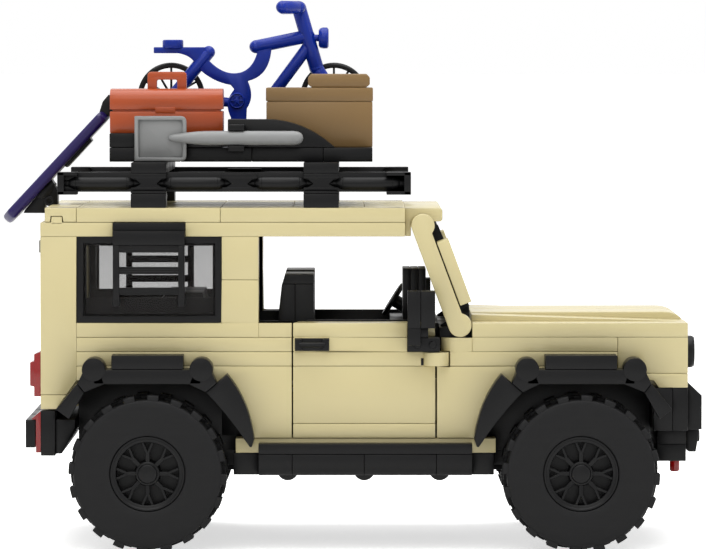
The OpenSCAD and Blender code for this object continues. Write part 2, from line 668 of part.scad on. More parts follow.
module bike_frame() color(BLUE) {
  for (u = [0, bike_base])
    cross_bar(bike_x + u, bike_z, bike_pin_r, [bike_y, bike_y + bike_wheel_off + 1.25]);
  bar_between(bk(8.7, 10.3), bk(0.4, 0.2), 1.3);
  bar_between(bk(29.8, 20), bk(bike_base - 0.3, -0.6), 1.5);
  bar_between(bk(19.4, 11.4), bk(31.8, 13.9), 1.25);
  bar_between(bk(32.2, 12.2), bk(23.4, 0.5), 1.15);
  bar_between(bk(15.2, -1.6), bk(0.6, 0), 0.9);
  profile([bike_y - frame_t / 2, bike_y + frame_t / 2]) translate([bike_x, bike_z])
    bike_plate(load_z - bike_z);
  translate(bk(0.5, 11.2)) cylinder(d = stud_d, h = stud_h + 0.1);
  // handlebar with swept-back grips, and the lamp
  cross_bar(bike_x + 29.6, bike_z + 20.4, 1.2, [bike_y - 4, bike_y + 4]);
  for (s = [-1, 1]) bar_between(bk(29.6, 20.4) + [0, s * 3.6, 0], bk(26, 20.4) + [0, s * 9, 0], 1.4);
  translate(bk(32.2, 13.4)) rotate([0, 90, 0]) cylinder(r = 0.8, h = 2);
  translate(bk(34, 13.4)) rotate([0, 90, 0]) cylinder(r = 2.3, h = 2.4);
}

module bike_wheel(u) color(BLACK) translate(bk(u, 0) + [0, bike_wheel_off, 0])
  rotate([90, 0, 0]) difference() {
  union() {
    rotate_extrude() polygon([[bike_wheel_d / 2 - 1.5, -0.9], [bike_wheel_d / 2 - 0.4, -0.9],
      [bike_wheel_d / 2, -0.4], [bike_wheel_d / 2, 0.4], [bike_wheel_d / 2 - 0.4, 0.9],
      [bike_wheel_d / 2 - 1.5, 0.9]]);
    for (a = [0:45:315]) rotate(a) translate([1.4, -0.3, -0.4])
      cube([bike_wheel_d / 2 - 2.6, 0.6, 0.8]);
    cylinder(r = 1.7, h = 1.8, center = true);
  }
  cylinder(r = bike_pin_r + run_fit, h = 5, center = true);
}

module bike_wheel_rear() bike_wheel(0);
module bike_wheel_front() bike_wheel(bike_base);

// ---------------------------------------------------------------- board
board_t = 2.6;
board_w = 12;
board_len = 33.4;
board_lean = 47;
board_foot = [rear_x - rear_over + board_t / 2, roof_z - 3.4];

module board() color(PURPLE) profile([-board_w / 2, board_w / 2])
  translate(board_foot) rotate(board_lean) {
    circle(d = board_t);
    translate([0, -board_t / 2]) square([board_len, board_t]);
    translate([board_len, 0]) circle(d = board_t);
  }

// A point on the underside of the board, u along it from its foot
function under(u) = board_foot + [u * cos(board_lean) + board_t / 2 * sin(board_lean),
  u * sin(board_lean) - board_t / 2 * cos(board_lean)];

module board_bracket() color(BLACK) profile([-3, 3]) polygon([
  [rear_x - 5.6, roof_z - 2], [rear_x - 0.6, roof_z - 2], [rear_x - 0.6, roof_z],
  [rear_x + 2.2, roof_z], [rear_x + 2.2, roof_z + 3], under(13.6), under(10.6),
  [rear_x - 3.4, roof_z + 0.9], [rear_x - 5.2, roof_z - 1.2]]);

// ---------------------------------------------------------------- every piece
chassis();
cabin_floor();
wheel_boxes();
load_floor();
rear_side_right();
rear_side_left();
front_fender_right();
front_fender_left();
roof();
roof_visor();
hood();
nose_panel();
grille();
headlights();
cowl();
windscreen_posts();
windscreen_glass();
side_window_frames();
side_window_glass();
side_ladders();
dashboard();
steering_wheel();
seats();
rear_seat();
flare_rear_right();
flare_rear_left();
flare_front_right();
flare_front_left();
sills();
bumper_front();
bumper_rear();
tow_hooks();
tow_pin();
tail_lights();
axles();
door_right();
door_left();
mirror_right();
mirror_left();
rear_door();
rear_door_glass();
tyre_rear_right();
tyre_rear_left();
tyre_front_right();
tyre_front_left();
rim_rear_right();
rim_rear_left();
rim_front_right();
rim_front_left();
roof_rack();
cargo_tray();
toolbox();
crate();
shovel();
bike_frame();
bike_wheel_rear();
bike_wheel_front();
board();
board_bracket();
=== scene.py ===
"""Looks of the brick-built toy 4x4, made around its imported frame. Lengths are in millimetres unless noted."""

import math

import bmesh
import bpy
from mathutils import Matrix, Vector


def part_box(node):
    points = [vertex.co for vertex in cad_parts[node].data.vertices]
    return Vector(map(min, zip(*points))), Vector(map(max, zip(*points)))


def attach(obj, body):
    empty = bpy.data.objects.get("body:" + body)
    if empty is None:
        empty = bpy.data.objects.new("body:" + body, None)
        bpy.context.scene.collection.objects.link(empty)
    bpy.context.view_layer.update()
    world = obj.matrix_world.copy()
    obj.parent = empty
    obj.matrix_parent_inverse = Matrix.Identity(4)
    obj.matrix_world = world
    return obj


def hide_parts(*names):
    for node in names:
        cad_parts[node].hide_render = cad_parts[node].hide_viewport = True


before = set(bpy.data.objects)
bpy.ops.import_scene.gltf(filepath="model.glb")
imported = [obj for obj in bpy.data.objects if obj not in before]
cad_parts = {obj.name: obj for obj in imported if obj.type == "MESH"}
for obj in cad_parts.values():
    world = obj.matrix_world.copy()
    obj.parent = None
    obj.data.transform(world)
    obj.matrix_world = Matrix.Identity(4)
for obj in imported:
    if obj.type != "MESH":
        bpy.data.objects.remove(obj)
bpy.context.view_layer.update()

MM = 0.001
STUD = 8.0
PLATE = 3.2
STUD_R = 2.4
STUD_H = 1.7
BAR_R = 1.59
EDGE = 0.13        # rounding of a moulded edge
SEAM = 0.045       # half of the gap between two bricks


def corners(node):
    """Lowest and highest corner of a frame node, in millimetres."""
    low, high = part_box(node)
    return low / MM, high / MM


roof_low, roof_high = corners("roof")
REAR = roof_low.x
ROOF = roof_high.z
HALF = roof_high.y
CABIN = HALF - STUD
SILL = corners("door_right")[0].z
FRONT = corners("hood")[1].x


def sx(n):
    """X of the n-th stud line from the rear face."""
    return REAR + STUD * n


def pz(k):
    """Z of the k-th plate line above the lower edge of the doors."""
    return SILL + PLATE * k


# ------------------------------------------------------------------ modelling
def select_only(piece):
    bpy.ops.object.select_all(action="DESELECT")
    piece.select_set(True)
    bpy.context.view_layer.objects.active = piece


def edit(piece):
    select_only(piece)
    bpy.ops.object.mode_set(mode="EDIT")
    bpy.ops.mesh.select_all(action="SELECT")


def leave():
    bpy.ops.object.mode_set(mode="OBJECT")


def settle(piece):
    """Puts the place, turn and size of a new piece into its mesh."""
    select_only(piece)
    bpy.ops.object.transform_apply(location=True, rotation=True, scale=True)
    return piece


def block(x, y, z):
    size = [b - a for a, b in (x, y, z)]
    middle = [(a + b) / 2 * MM for a, b in (x, y, z)]
    bpy.ops.mesh.primitive_cube_add(size=1, location=middle, scale=[s * MM for s in size])
    return settle(bpy.context.object)


def rod(start, end, radius, end_radius=None, sides=24):
    start, end = Vector(start) * MM, Vector(end) * MM
    along = end - start
    bpy.ops.mesh.primitive_cone_add(
        vertices=sides, radius1=radius * MM,
        radius2=(radius if end_radius is None else end_radius) * MM, depth=along.length,
        location=(start + end) / 2, rotation=along.to_track_quat("Z", "Y").to_euler())
    return settle(bpy.context.object)


def loop(points, fill="NGON"):
    """A new piece with one closed loop of vertices at the points."""
    bpy.ops.mesh.primitive_circle_add(vertices=len(points), fill_type=fill)
    piece = bpy.context.object
    piece.location = (0, 0, 0)
    for vertex, point in zip(piece.data.vertices, points):
        vertex.co = Vector(point) * MM
    return piece


def close_up():
    """Turns all faces of the edited piece outwards and leaves edit mode."""
    bpy.ops.mesh.select_all(action="SELECT")
    bpy.ops.mesh.normals_make_consistent(inside=False)
    leave()


LAY = {"X": lambda a, b, c: (c, a, b), "Y": lambda a, b, c: (a, c, b), "Z": lambda a, b, c: (a, b, c)}


def outline(points, span, axis="Y"):
    """A flat outline extruded along one axis, from span[0] to span[1]."""
    piece = loop([LAY[axis](a, b, span[0]) for a, b in points])
    edit(piece)
    bpy.ops.mesh.extrude_region_move(
        TRANSFORM_OT_translate={"value": Vector(LAY[axis](0, 0, span[1] - span[0])) * MM})
    close_up()
    return piece


def turned(points, centre, axis="Y", steps=48):
    """A closed outline of (radius, height) points spun about an axis through centre."""
    spin_axis = Vector(LAY[axis](0, 0, 1))
    piece = loop([Vector(centre) + Vector(LAY[axis](r, 0, h)) for r, h in points], "NOTHING")
    edit(piece)
    bpy.ops.mesh.spin(steps=steps, angle=math.tau, center=Vector(centre) * MM, axis=spin_axis)
    bpy.ops.mesh.select_all(action="SELECT")
    bpy.ops.mesh.remove_doubles(threshold=1e-6)
    bpy.ops.mesh.dissolve_degenerate(threshold=1e-7)
    bpy.ops.mesh.select_all(action="SELECT")
    bpy.ops.mesh.delete_loose()
    close_up()
    return piece


def mirrored(piece):
    """The mirror image of a piece, with its own mesh, across the middle of the vehicle."""
    twin = bpy.data.objects.new(piece.name, piece.data.copy())
    bpy.context.scene.collection.objects.link(twin)
    for vertex in twin.data.vertices:
        vertex.co.y = -vertex.co.y
    edit(twin)
    bpy.ops.mesh.flip_normals()
    leave()
    return twin


def around(piece, count, centre):
    """The piece and its copies, evenly spaced around a full circle about a line along Y."""
    edit(piece)
    bpy.ops.mesh.spin(steps=count - 1, angle=math.tau * (count - 1) / count, dupli=True,
                      center=Vector(centre) * MM, axis=(0, 1, 0))
    leave()
    return piece


merged = {}


def cad_copy(node):
    """A frame node's mesh as a new piece, with its loose triangles merged into clean faces."""
    if node not in merged:
        source = bpy.data.objects.new(node + "_copy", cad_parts[node].data.copy())
        bpy.context.scene.collection.objects.link(source)
        source.data.materials.clear()
        edit(source)
        bpy.ops.mesh.customdata_custom_splitnormals_clear()
        bpy.ops.mesh.remove_doubles(threshold=2e-6)
        bpy.ops.mesh.dissolve_limited(angle_limit=math.radians(0.6))
        leave()
        merged[node] = source.data
        bpy.data.objects.remove(source)
    piece = bpy.data.objects.new(node + "_part", merged[node].copy())
    bpy.context.scene.collection.objects.link(piece)
    return piece


def keep(piece, x=None, y=None, z=None):
    """Cuts a piece back to the part inside the given limits, with closed faces at the cuts."""
    for number, limits in enumerate((x, y, z)):
        for end, limit in enumerate(limits or ()):
            if limit is None:
                continue
            edit(piece)
            spot, way = Vector(), Vector()
            spot[number] = limit * MM
            way[number] = 1 if end else -1
            bpy.ops.mesh.bisect(plane_co=spot, plane_no=way, use_fill=True, clear_outer=True)
            leave()
    return piece


def brick(node, x=(None, None), z=(None, None), y=None):
    """One brick of a wall: the part of a frame node between seams, a hair smaller all round."""
    def trim(limits):
        low, high = limits
        return (None if low is None else low + SEAM, None if high is None else high - SEAM)
    return keep(cad_copy(node), trim(x), y, trim(z))


def bend(a, b, c, count):
    """Points along a smooth bend from a to c, pulled towards b."""
    return [tuple(p * (1 - t) ** 2 + q * 2 * t * (1 - t) + r * t * t for p, q, r in zip(a, b, c))
            for t in (n / count for n in range(count + 1))]


def about(middle, half):
    """An interval with its middle and half of its length given."""
    return (middle - half, middle + half)


def seamed(low, high):
    """Limits of a brick between two seam lines."""
    return (low + SEAM, high - SEAM)


def beyond(out, a, b):
    """Y limits from a to b beyond a side wall, where out is -1 on the right and 1 on the left."""
    return sorted((out * (HALF + a), out * (HALF + b)))


def stud(x, y, z):
    return turned([(0, -0.3), (STUD_R, -0.3), (STUD_R, STUD_H - 0.2), (STUD_R - 0.2, STUD_H), (0, STUD_H)],
                  (x, y, z), "Z", 24)


def both_sides(parts):
    """The parts and their mirror images across the middle of the vehicle."""
    return parts + [mirrored(p) for p in parts]


def done(name, body, slot, parts, edge=EDGE, replaces=(), steps=2, sharp=38):
    """Joins parts into one finished piece with rounded edges, its finish and its place on a body."""
    parts = list(parts)
    select_only(parts[0])
    for part in parts[1:]:
        part.select_set(True)
    if len(parts) > 1:
        bpy.ops.object.join()
    piece = bpy.context.object
    piece.name = piece.data.name = name
    if edge:
        rounding = piece.modifiers.new("rounding", "BEVEL")
        rounding.width = edge * MM
        rounding.segments = steps
        rounding.limit_method = "ANGLE"
        rounding.angle_limit = math.radians(33)
        rounding.use_clamp_overlap = False
        bpy.ops.object.modifier_apply(modifier=rounding.name)
    bpy.ops.object.shade_smooth_by_angle(angle=math.radians(sharp))
    piece.data.materials.clear()
    piece.data.materials.append(FINISH[slot])
    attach(piece, body)
    if replaces:
        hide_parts(*([replaces] if isinstance(replaces, str) else replaces))
    return piece


# ------------------------------------------------------------------ finishes
def linear(code):
    """An sRGB hex colour as linear RGBA."""
    values = [int(code[i:i + 2], 16) / 255 for i in (1, 3, 5)]
    return [v / 12.92 if v <= 0.04045 else ((v + 0.055) / 1.055) ** 2.4 for v in values] + [1]


def add(tree, kind, settings, links=()):
    """Adds one node with its settings and its incoming links."""
    made = tree.nodes.new(kind)
    for key, value in settings.items():
        if hasattr(made, key):
            setattr(made, key, value)
        else:
            made.inputs[key].default_value = value
    for target, source in links:
        tree.links.new(source, made.inputs[target])
    return made


GRAIN = 0.5        # width of the grain the mould leaves
SCRATCH = 0.9      # width of the scuffs


def moulded(name, colour, roughness, ior, tone=0.04, flow_mm=14.0, relief=0.012,
            scuff=0.04, shine=0.4, transmission=0.0, alpha=1.0):
    """An injection-moulded surface: slight flow tones, a grain from the mould and faint scuffs."""
    finish = bpy.data.materials.new(name)
    finish.use_nodes = True
    tree = finish.node_tree
    tree.nodes.clear()
    place = add(tree, "ShaderNodeTexCoord", {}).outputs["Object"]
    flow = add(tree, "ShaderNodeTexNoise", {"Scale": 1 / (flow_mm * MM), "Detail": 3.0}, [("Vector", place)])
    grain = add(tree, "ShaderNodeTexNoise", {"Scale": 1 / (GRAIN * MM), "Detail": 4.0},
        [("Vector", place)])
    long_way = add(tree, "ShaderNodeMapping", {"Scale": (0.12, 0.12, 1.0)}, [("Vector", place)])
    scuffs = add(tree, "ShaderNodeTexNoise", {"Scale": 1 / (SCRATCH * MM), "Detail": 2.0},
                 [("Vector", long_way.outputs["Vector"])])
    base = linear(colour)
    dark = [c * (1 - tone) for c in base[:3]] + [1]
    light = [min(1, c * (1 + tone)) for c in base[:3]] + [1]
    colours = add(tree, "ShaderNodeMix", {"data_type": "RGBA"}, [("Factor", flow.outputs["Fac"])])
    colours.inputs[6].default_value, colours.inputs[7].default_value = dark, light
    polish = add(tree, "ShaderNodeMapRange", {"From Min": 0.3, "From Max": 0.75,
        "To Min": roughness - scuff / 2, "To Max": roughness + scuff}, [("Value", scuffs.outputs["Fac"])])
    bump = add(tree, "ShaderNodeBump", {"Strength": 0.5, "Distance": relief * MM},
               [("Height", grain.outputs["Fac"])])
    shader = add(tree, "ShaderNodeBsdfPrincipled", {"IOR": ior, "Specular IOR Level": shine,
                 "Transmission Weight": transmission, "Alpha": alpha},
                 [("Base Color", colours.outputs[2]), ("Roughness", polish.outputs["Result"]),
                  ("Normal", bump.outputs["Normal"])])
    add(tree, "ShaderNodeOutputMaterial", {}, [("Surface", shader.outputs["BSDF"])])
    return finish


ABS_IOR = 1.54
PC_IOR = 1.58
FINISH = {
    # polished-mould ABS: an even, milky tan with soft wide highlights
    "tan_plastic": moulded("abs_tan", "#CABE90", 0.26, ABS_IOR,
                           tone=0.02, scuff=0.004, relief=0.001, shine=0.35),
    # the same moulding in black: reads through its highlights and its lighter edges
    "black_plastic": moulded("abs_black", "#0C0C0D", 0.34, ABS_IOR,
                             tone=0.06, scuff=0.02, relief=0.004, shine=0.17),
    # clear smoke polycarbonate: greyed light passes, sharp glints on the edges
    "smoke_window": moulded("polycarbonate_smoke", "#1C1816", 0.04, PC_IOR, tone=0.01, relief=0.0,
                            scuff=0.0, shine=0.25, alpha=0.25),
    # styrene-based rubber: dull charcoal with a broad weak sheen
    "tyre_rubber": moulded("moulded_rubber", "#111112", 0.6, 1.52, tone=0.08, flow_mm=9.0,
                            relief=0.03, shine=0.2),
    # clear polycarbonate for the lamps: bright glints and a glassy depth
    "clear_lens": moulded("polycarbonate_clear", "#F2F4F5", 0.04, PC_IOR, tone=0.01, relief=0.001,
                          scuff=0.02, transmission=0.9),
    # transparent red polycarbonate: deep red that lights up at thin edges
    "red_lens": moulded("polycarbonate_red", "#9A0C0C", 0.1, PC_IOR, tone=0.02, relief=0.002,
                        scuff=0.03, transmission=0.35),
    # ABS in stone grey: cool, flat and slightly satin
    "grey_plastic": moulded("abs_stone_grey", "#868787", 0.34, ABS_IOR, tone=0.03, shine=0.3),
    # ABS in rust orange: warm, saturated, satin
    "rust_plastic": moulded("abs_rust", "#A8481E", 0.24, ABS_IOR,
                            tone=0.05, scuff=0.01, relief=0.003, shine=0.35),
    # ABS in dark tan: flat brown with yellowish highlights
    "brown_plastic": moulded("abs_dark_tan", "#80653F", 0.36, ABS_IOR, tone=0.05, shine=0.3),
    # ABS in strong blue: bright highlights along the round tubes
    "blue_plastic": moulded("abs_blue", "#0A2A92", 0.26, ABS_IOR,
                            tone=0.05, scuff=0.01, relief=0.003, shine=0.22),
    # ABS in dark purple: almost black away from the light
    "purple_plastic": moulded("abs_dark_purple", "#1F1252", 0.3, ABS_IOR, tone=0.06, shine=0.3),
}

# ------------------------------------------------------------------ camera, lights and floor
bpy.ops.object.select_all(action="DESELECT")
EYE = Vector((0.9, -1175, 109)) * MM
AIM = Vector((0.9, -HALF, 61.4)) * MM
bpy.ops.object.camera_add(location=EYE, rotation=(AIM - EYE).to_track_quat("-Z", "Y").to_euler())
camera = bpy.context.object
camera.data.lens = 262.4
camera.data.sensor_width = 36
camera.data.clip_start, camera.data.clip_end = 0.05, 60
bpy.context.scene.camera = camera


def softbox(name, place, width, height, power, colour="#FFFFFF"):
    """A large soft studio light that faces the middle of the vehicle. Places are in metres."""
    way = Vector(MIDDLE) - Vector(place)
    bpy.ops.object.light_add(type="AREA", location=place, rotation=way.to_track_quat("-Z", "Y").to_euler())
    lamp = bpy.context.object
    lamp.name = name
    lamp.data.shape = "RECTANGLE"
    lamp.data.size, lamp.data.size_y = width, height
    lamp.data.energy = power
    lamp.data.color = linear(colour)[:3]


MIDDLE = (0, 0, 0.05)
softbox("top_softbox", (0.0, -0.05, 0.8), 0.9, 0.9, 7.5)
softbox("front_softbox", (-0.12, -0.6, 0.5), 0.5, 0.4, 1.05, "#FFFDF8")
softbox("side_softbox", (1.5, -0.5, 0.7), 0.9, 0.9, 2.5)
softbox("back_softbox", (-0.8, 1.4, 0.9), 1.0, 0.9, 4)
bpy.context.scene.view_settings.view_transform = "Standard"
world = bpy.data.worlds.new("studio_air")
bpy.context.scene.world = world
world.use_nodes = True
world.node_tree.nodes["Background"].inputs["Color"].default_value = linear("#FFFFFF")
air = world.node_tree
ray = add(air, "ShaderNodeLightPath", {})
dimmer = add(air, "ShaderNodeMapRange", {"To Min": 1.0, "To Max": 0.36},
    [("Value", ray.outputs["Is Diffuse Ray"])])
air.links.new(dimmer.outputs["Result"], air.nodes["Background"].inputs["Strength"])

bpy.ops.mesh.primitive_circle_add(vertices=96, radius=40, fill_type="NGON")
floor = bpy.context.object
floor.name = "studio_floor"
paint = bpy.data.materials.new("matt_white_paint")
paint.use_nodes = True
coat = paint.node_tree.nodes["Principled BSDF"]
for socket, value in (("Base Color", linear("#FBFBFA")), ("Roughness", 0.8),
        ("Emission Color", linear("#FFFFFF"))):
    coat.inputs[socket].default_value = value
seen = add(paint.node_tree, "ShaderNodeLightPath", {})
glow = add(paint.node_tree, "ShaderNodeMapRange", {"To Min": 0.24, "To Max": 0.62},
    [("Value", seen.outputs["Is Camera Ray"])])
paint.node_tree.links.new(glow.outputs["Result"], coat.inputs["Emission Strength"])
floor.data.materials.append(paint)

# ------------------------------------------------------------------ tyres and wheels
RIM_R = 9.3
TYRE_R = 17.5
TREAD_R = 16.45
BEAD_R = 8.4
TYRE_W = 15.0
LUGS = 20
RIM_OUT = RIM_R - 0.05
LUG_FOOT = TREAD_R - 0.5


def tyre_parts(x, z, face, inward):
    """One tyre: a carcass, a rim bead and two staggered rows of lugs that wrap the shoulders."""
    def at(r, h):
        return (r, face + inward * h)
    def row(points):
        return [at(r, h) for r, h in points]
    centre = (x, 0, z)
    parts = [turned(row([(RIM_R + 0.06, 1.3), (RIM_R + 0.06, 0.85), (BEAD_R, 0.85), (BEAD_R, 0.6),
        (BEAD_R + 0.3, 0.45), (10.2, 0.3), (12.4, 0.12), (14.6, 0.08), (15.9, 0.15), (16.3, 0.35),
        (TREAD_R, 0.9), (TREAD_R, TYRE_W - 0.9), (16.3, TYRE_W - 0.35), (15.9, TYRE_W - 0.15),
        (14.6, TYRE_W - 0.08), (12.4, TYRE_W - 0.1), (RIM_R + 0.5, TYRE_W - 0.45),
        (RIM_R + 0.06, TYRE_W - 0.95)]), centre, "Y", 120)]
    pitch = math.tau / LUGS
    for side, phase in ((0, 0.0), (1, 0.5)):
        def lug_h(h):
            return face + inward * (h if side == 0 else TYRE_W - h)
        profile = [(LUG_FOOT, 0.45), (TREAD_R, 0.3), (17.35, 0.4), (TYRE_R, 0.7), (TYRE_R, 4.9),
            (LUG_FOOT, 5.2)]
        lug = turned_slice(profile, centre, lug_h, phase * pitch, 0.46 * pitch)
        parts.append(around(lug, LUGS, centre))
        inner = turned_slice([(TYRE_R - 0.35, 5.6), (TYRE_R - 0.3, 5.9), (TYRE_R - 0.3, 7.2),
            (LUG_FOOT, 7.2), (LUG_FOOT, 5.6)], centre, lug_h, (phase + 0.3) * pitch, 0.5 * pitch)
        parts.append(around(inner, LUGS, centre))
    return parts


def turned_slice(profile, centre, height, start, sweep):
    """A short block bent round the wheel: an outline of (radius, height) swept through a small angle."""
    piece = loop([(centre[0] + r * math.cos(start), height(h), centre[2] + r * math.sin(start))
                  for r, h in profile])
    edit(piece)
    bpy.ops.mesh.spin(steps=2, angle=sweep, center=Vector(centre) * MM, axis=(0, -1, 0))
    bpy.ops.mesh.select_all(action="SELECT")
    bpy.ops.mesh.remove_doubles(threshold=1e-7)
    bm = bmesh.from_edit_mesh(piece.data)
    ends = [e for e in bm.edges if len(e.link_faces) == 1]
    bpy.ops.mesh.select_all(action="DESELECT")
    for e in ends:
        e.select = True
    bmesh.update_edit_mesh(piece.data)
    if ends:
        bpy.ops.mesh.edge_face_add()
    close_up()
    return piece


def rim_parts(x, z, face, inward):
    """One rim: a stepped ring, a dished floor, eight forked spokes, and a hub with its cap."""
    def row(points):
        return [(r, face + inward * h) for r, h in points]
    def at(r, angle, h):
        return (x + r * math.cos(angle), face + inward * h, z + r * math.sin(angle))
    centre = (x, 0, z)
    parts = [turned(row([(RIM_OUT, 1.0), (8.35, 1.0), (8.25, 0.75), (7.85, 0.75), (7.7, 1.0),
        (7.15, 1.05), (6.95, 1.3), (6.95, 5.2), (RIM_OUT, 5.2)]), centre, "Y", 64),
        turned(row([(0, 5.0), (8.2, 5.0), (8.2, 5.2), (RIM_OUT, 5.2), (RIM_OUT, TYRE_W - 1.2),
        (8.1, TYRE_W - 1.2), (8.1, 6.4), (0, 6.4)]), centre, "Y", 64),
        turned(row([(0, 0.75), (1.9, 0.75), (2.1, 0.95), (2.15, 1.4), (2.55, 1.45), (2.8, 1.8), (3.0, 5.1),
        (0, 5.1)]), centre, "Y", 40), turned(row([(0, 6.2), (3.6, 6.2), (3.6, TYRE_W - 1.8),
        (3.2, TYRE_W - 1.3), (0, TYRE_W - 1.3)]), centre, "Y", 32)]
    half_fork = math.radians(9.5)
    spoke = [bar(at(2.4, 0, 2.5), at(4.7, 0, 2.3), 0.95, 1.7)]
    for way in (-1, 1):
        spoke.append(bar(at(4.3, 0, 2.3), at(7.2, way * half_fork, 2.2), 0.6, 1.6))
    for part in spoke:
        parts.append(around(part, 8, centre))
    return parts


def bar(start, end, width, depth):
    """A square bar between two points of a wheel, width across it and depth along the axle."""
    start, end = Vector(start), Vector(end)
    along = (end - start).normalized()
    across = along.cross(Vector((0, 1, 0))).normalized() * width / 2
    deep = Vector((0, depth / 2, 0))
    bpy.ops.mesh.primitive_cube_add(size=1)
    piece = bpy.context.object
    for vertex in piece.data.vertices:
        c = vertex.co.copy()
        vertex.co = ((end if c.z > 0 else start) + across * (2 * c.x) + deep * (2 * c.y)) * MM
    edit(piece)
    close_up()
    return piece


for place in ("rear_right", "rear_left", "front_right", "front_left"):
    low, high = corners("tyre_" + place)
    centre_x, centre_z = (low.x + high.x) / 2, (low.z + high.z) / 2
    outer, inward = (low.y, 1) if place.endswith("right") else (high.y, -1)
    done("tread_tyre_" + place, "wheel_" + place, "tyre_rubber",
         tyre_parts(centre_x, centre_z, outer, inward), edge=0.1, replaces="tyre_" + place, steps=1)
    done("spoked_rim_" + place, "wheel_" + place, "black_plastic",
         rim_parts(centre_x, centre_z, outer, inward), edge=0.08, replaces="rim_" + place, steps=1)

# ------------------------------------------------------------------ tan body walls, brick by brick
B_PILLAR = 6.06
WINDOW = 5.04
COWL = 12.0
A_POST = 10.14
ARCH_Z = pz(5)
NOSE_LOW = pz(7) - STUD - PLATE
HINGE = sx(11)
DECK = corners("cabin_floor")[1].z

SIDE_BRICKS = [   # ends along X, and the rows in Z, of the bricks of a rear side wall
    ((None, sx(1)), (pz(3), None)), ((None, sx(1)), (None, pz(3))),
    ((sx(1), sx(B_PILLAR)), (pz(7), pz(8))), ((sx(B_PILLAR), None), (pz(7), pz(8))),
    ((sx(1), None), (pz(6), pz(7))), ((sx(1), None), (ARCH_Z, pz(6))),
    ((sx(1), None), (None, ARCH_Z)),
    ((sx(WINDOW) - 1, sx(B_PILLAR) + 1), (pz(8), pz(11))),
    ((sx(WINDOW) - 1, sx(B_PILLAR) + 1), (pz(11), None))]
FENDER_BRICKS = [
    ((sx(COWL), sx(16.05)), (pz(6), pz(7))), ((None, sx(COWL)), (pz(6), pz(7))),
    ((None, sx(16.05)), (pz(5), pz(6))), ((None, sx(14.5)), (None, pz(5))),
    ((sx(16.05), None), (NOSE_LOW + PLATE, pz(7))), ((sx(14.5), sx(16.05)), (None, pz(5))),
    ((sx(16.05), None), (None, NOSE_LOW + PLATE))]
DOOR_BRICKS = [
    ((None, None), (pz(7), None)), ((None, None), (pz(6), pz(7))), ((None, None), (pz(5), pz(6))),
    ((None, None), (pz(1), pz(5))), ((None, None), (None, pz(1)))]

for side in ("right", "left"):
    done("rear_side_bricks_" + side, "body", "tan_plastic",
         [brick("rear_side_" + side, x, z) for x, z in SIDE_BRICKS], replaces="rear_side_" + side)
    done("front_fender_bricks_" + side, "body", "tan_plastic",
         [brick("front_fender_" + side, x, z) for x, z in FENDER_BRICKS], replaces="front_fender_" + side)
    wall = (-HALF - 0.3, None) if side == "right" else (None, HALF + 0.3)
    out = -1 if side == "right" else 1
    panels = [brick("door_" + side, x, z, wall) for x, z in DOOR_BRICKS if z != (pz(5), pz(6))]
    door_low, door_high = corners("door_" + side)
    inner = out * min(abs(door_low.y), abs(door_high.y))
    panels += [
        outline([(door_low.x, out * HALF), (HINGE - 0.15, out * HALF), (HINGE - 0.15, inner),
            (door_low.x + 2.6, inner)], seamed(pz(5), pz(6)), "Z"),
        turned([(0, 0.1), (2.8, 0.1), (2.8, PLATE - 0.1), (0, PLATE - 0.1)],
            (HINGE, out * (HALF - 0.1), pz(5)), "Z", 48)]
    done("door_bricks_" + side, side + "_door", "tan_plastic", panels, replaces="door_" + side)
    # the bar handle in its black bracket
    face, grip = sorted((out * HALF, out * (HALF + 1.4))), beyond(out, 0.5, 1.6)
    low_x = sx(7) + 0.55
    handle = [block((low_x, low_x + 7.7), beyond(out, -0.2, 0.35), (pz(6) + 0.15, pz(7) - 0.15))]
    for start in (low_x + 0.1, low_x + 6.2):
        handle.append(block((start, start + 1.4), face, (pz(6) + 0.35, pz(7) - 0.35)))
    handle += [
        rod((low_x + 1.0, (grip[0] + grip[1]) / 2, pz(6.5)), (low_x + 6.7, (grip[0] + grip[1]) / 2, pz(6.5)),
            0.62),
        block((HINGE - 3.4, HINGE - 2.75), beyond(out, -0.2, 0.04), (pz(5) + 0.15, pz(5) + 1.8))]
    done("door_handle_" + side, side + "_door", "black_plastic", handle, edge=0.1)

# roof: side tiles, end plates with their clip, and rows of tiles on top
ROOF_LOW = pz(15)
roof_parts = []
for low_y, high_y in ((-HALF, -CABIN), (CABIN, HALF)):
    across = (low_y, high_y)
    roof_parts += [block((sx(0), sx(2.02) - 0.1), across, seamed(pz(14), ROOF_LOW)),
                   block((sx(4.02) + 0.1, sx(A_POST) - SEAM), across, seamed(pz(14), ROOF_LOW))]
    for start, end in ((1, 5), (5, A_POST)):
        roof_parts.append(block(seamed(sx(start), sx(end)), across, (ROOF_LOW + 0.05, ROOF)))
    clip_x = REAR + 2.15
    roof_parts += [
        outline([(REAR + 1.0, ROOF_LOW + 0.12), (clip_x, ROOF_LOW + 0.12), (clip_x + 0.15, ROOF_LOW + 1.4),
            (clip_x + 2.75, ROOF_LOW + 1.4), (clip_x + 2.95, ROOF_LOW + 0.1), (sx(1) - SEAM, ROOF_LOW + 0.1),
            (sx(1) - SEAM, ROOF), (REAR + 1.0, ROOF)], across),
        outline([(clip_x + 0.2, ROOF_LOW - 0.4), (clip_x + 2.75, ROOF_LOW - 0.4),
            (clip_x + 2.6, ROOF_LOW + 1.25), (clip_x + 0.35, ROOF_LOW + 1.25)], across)]
roof_parts += [
    block((sx(0), sx(1)), seamed(-CABIN, CABIN), (pz(14) + 0.1, ROOF_LOW - SEAM)),
    block((REAR + 1.0, sx(1) - SEAM), seamed(-CABIN, CABIN), (ROOF_LOW + 0.05, ROOF))]
top_lines = [1, 3, 5, 7, 9, A_POST]
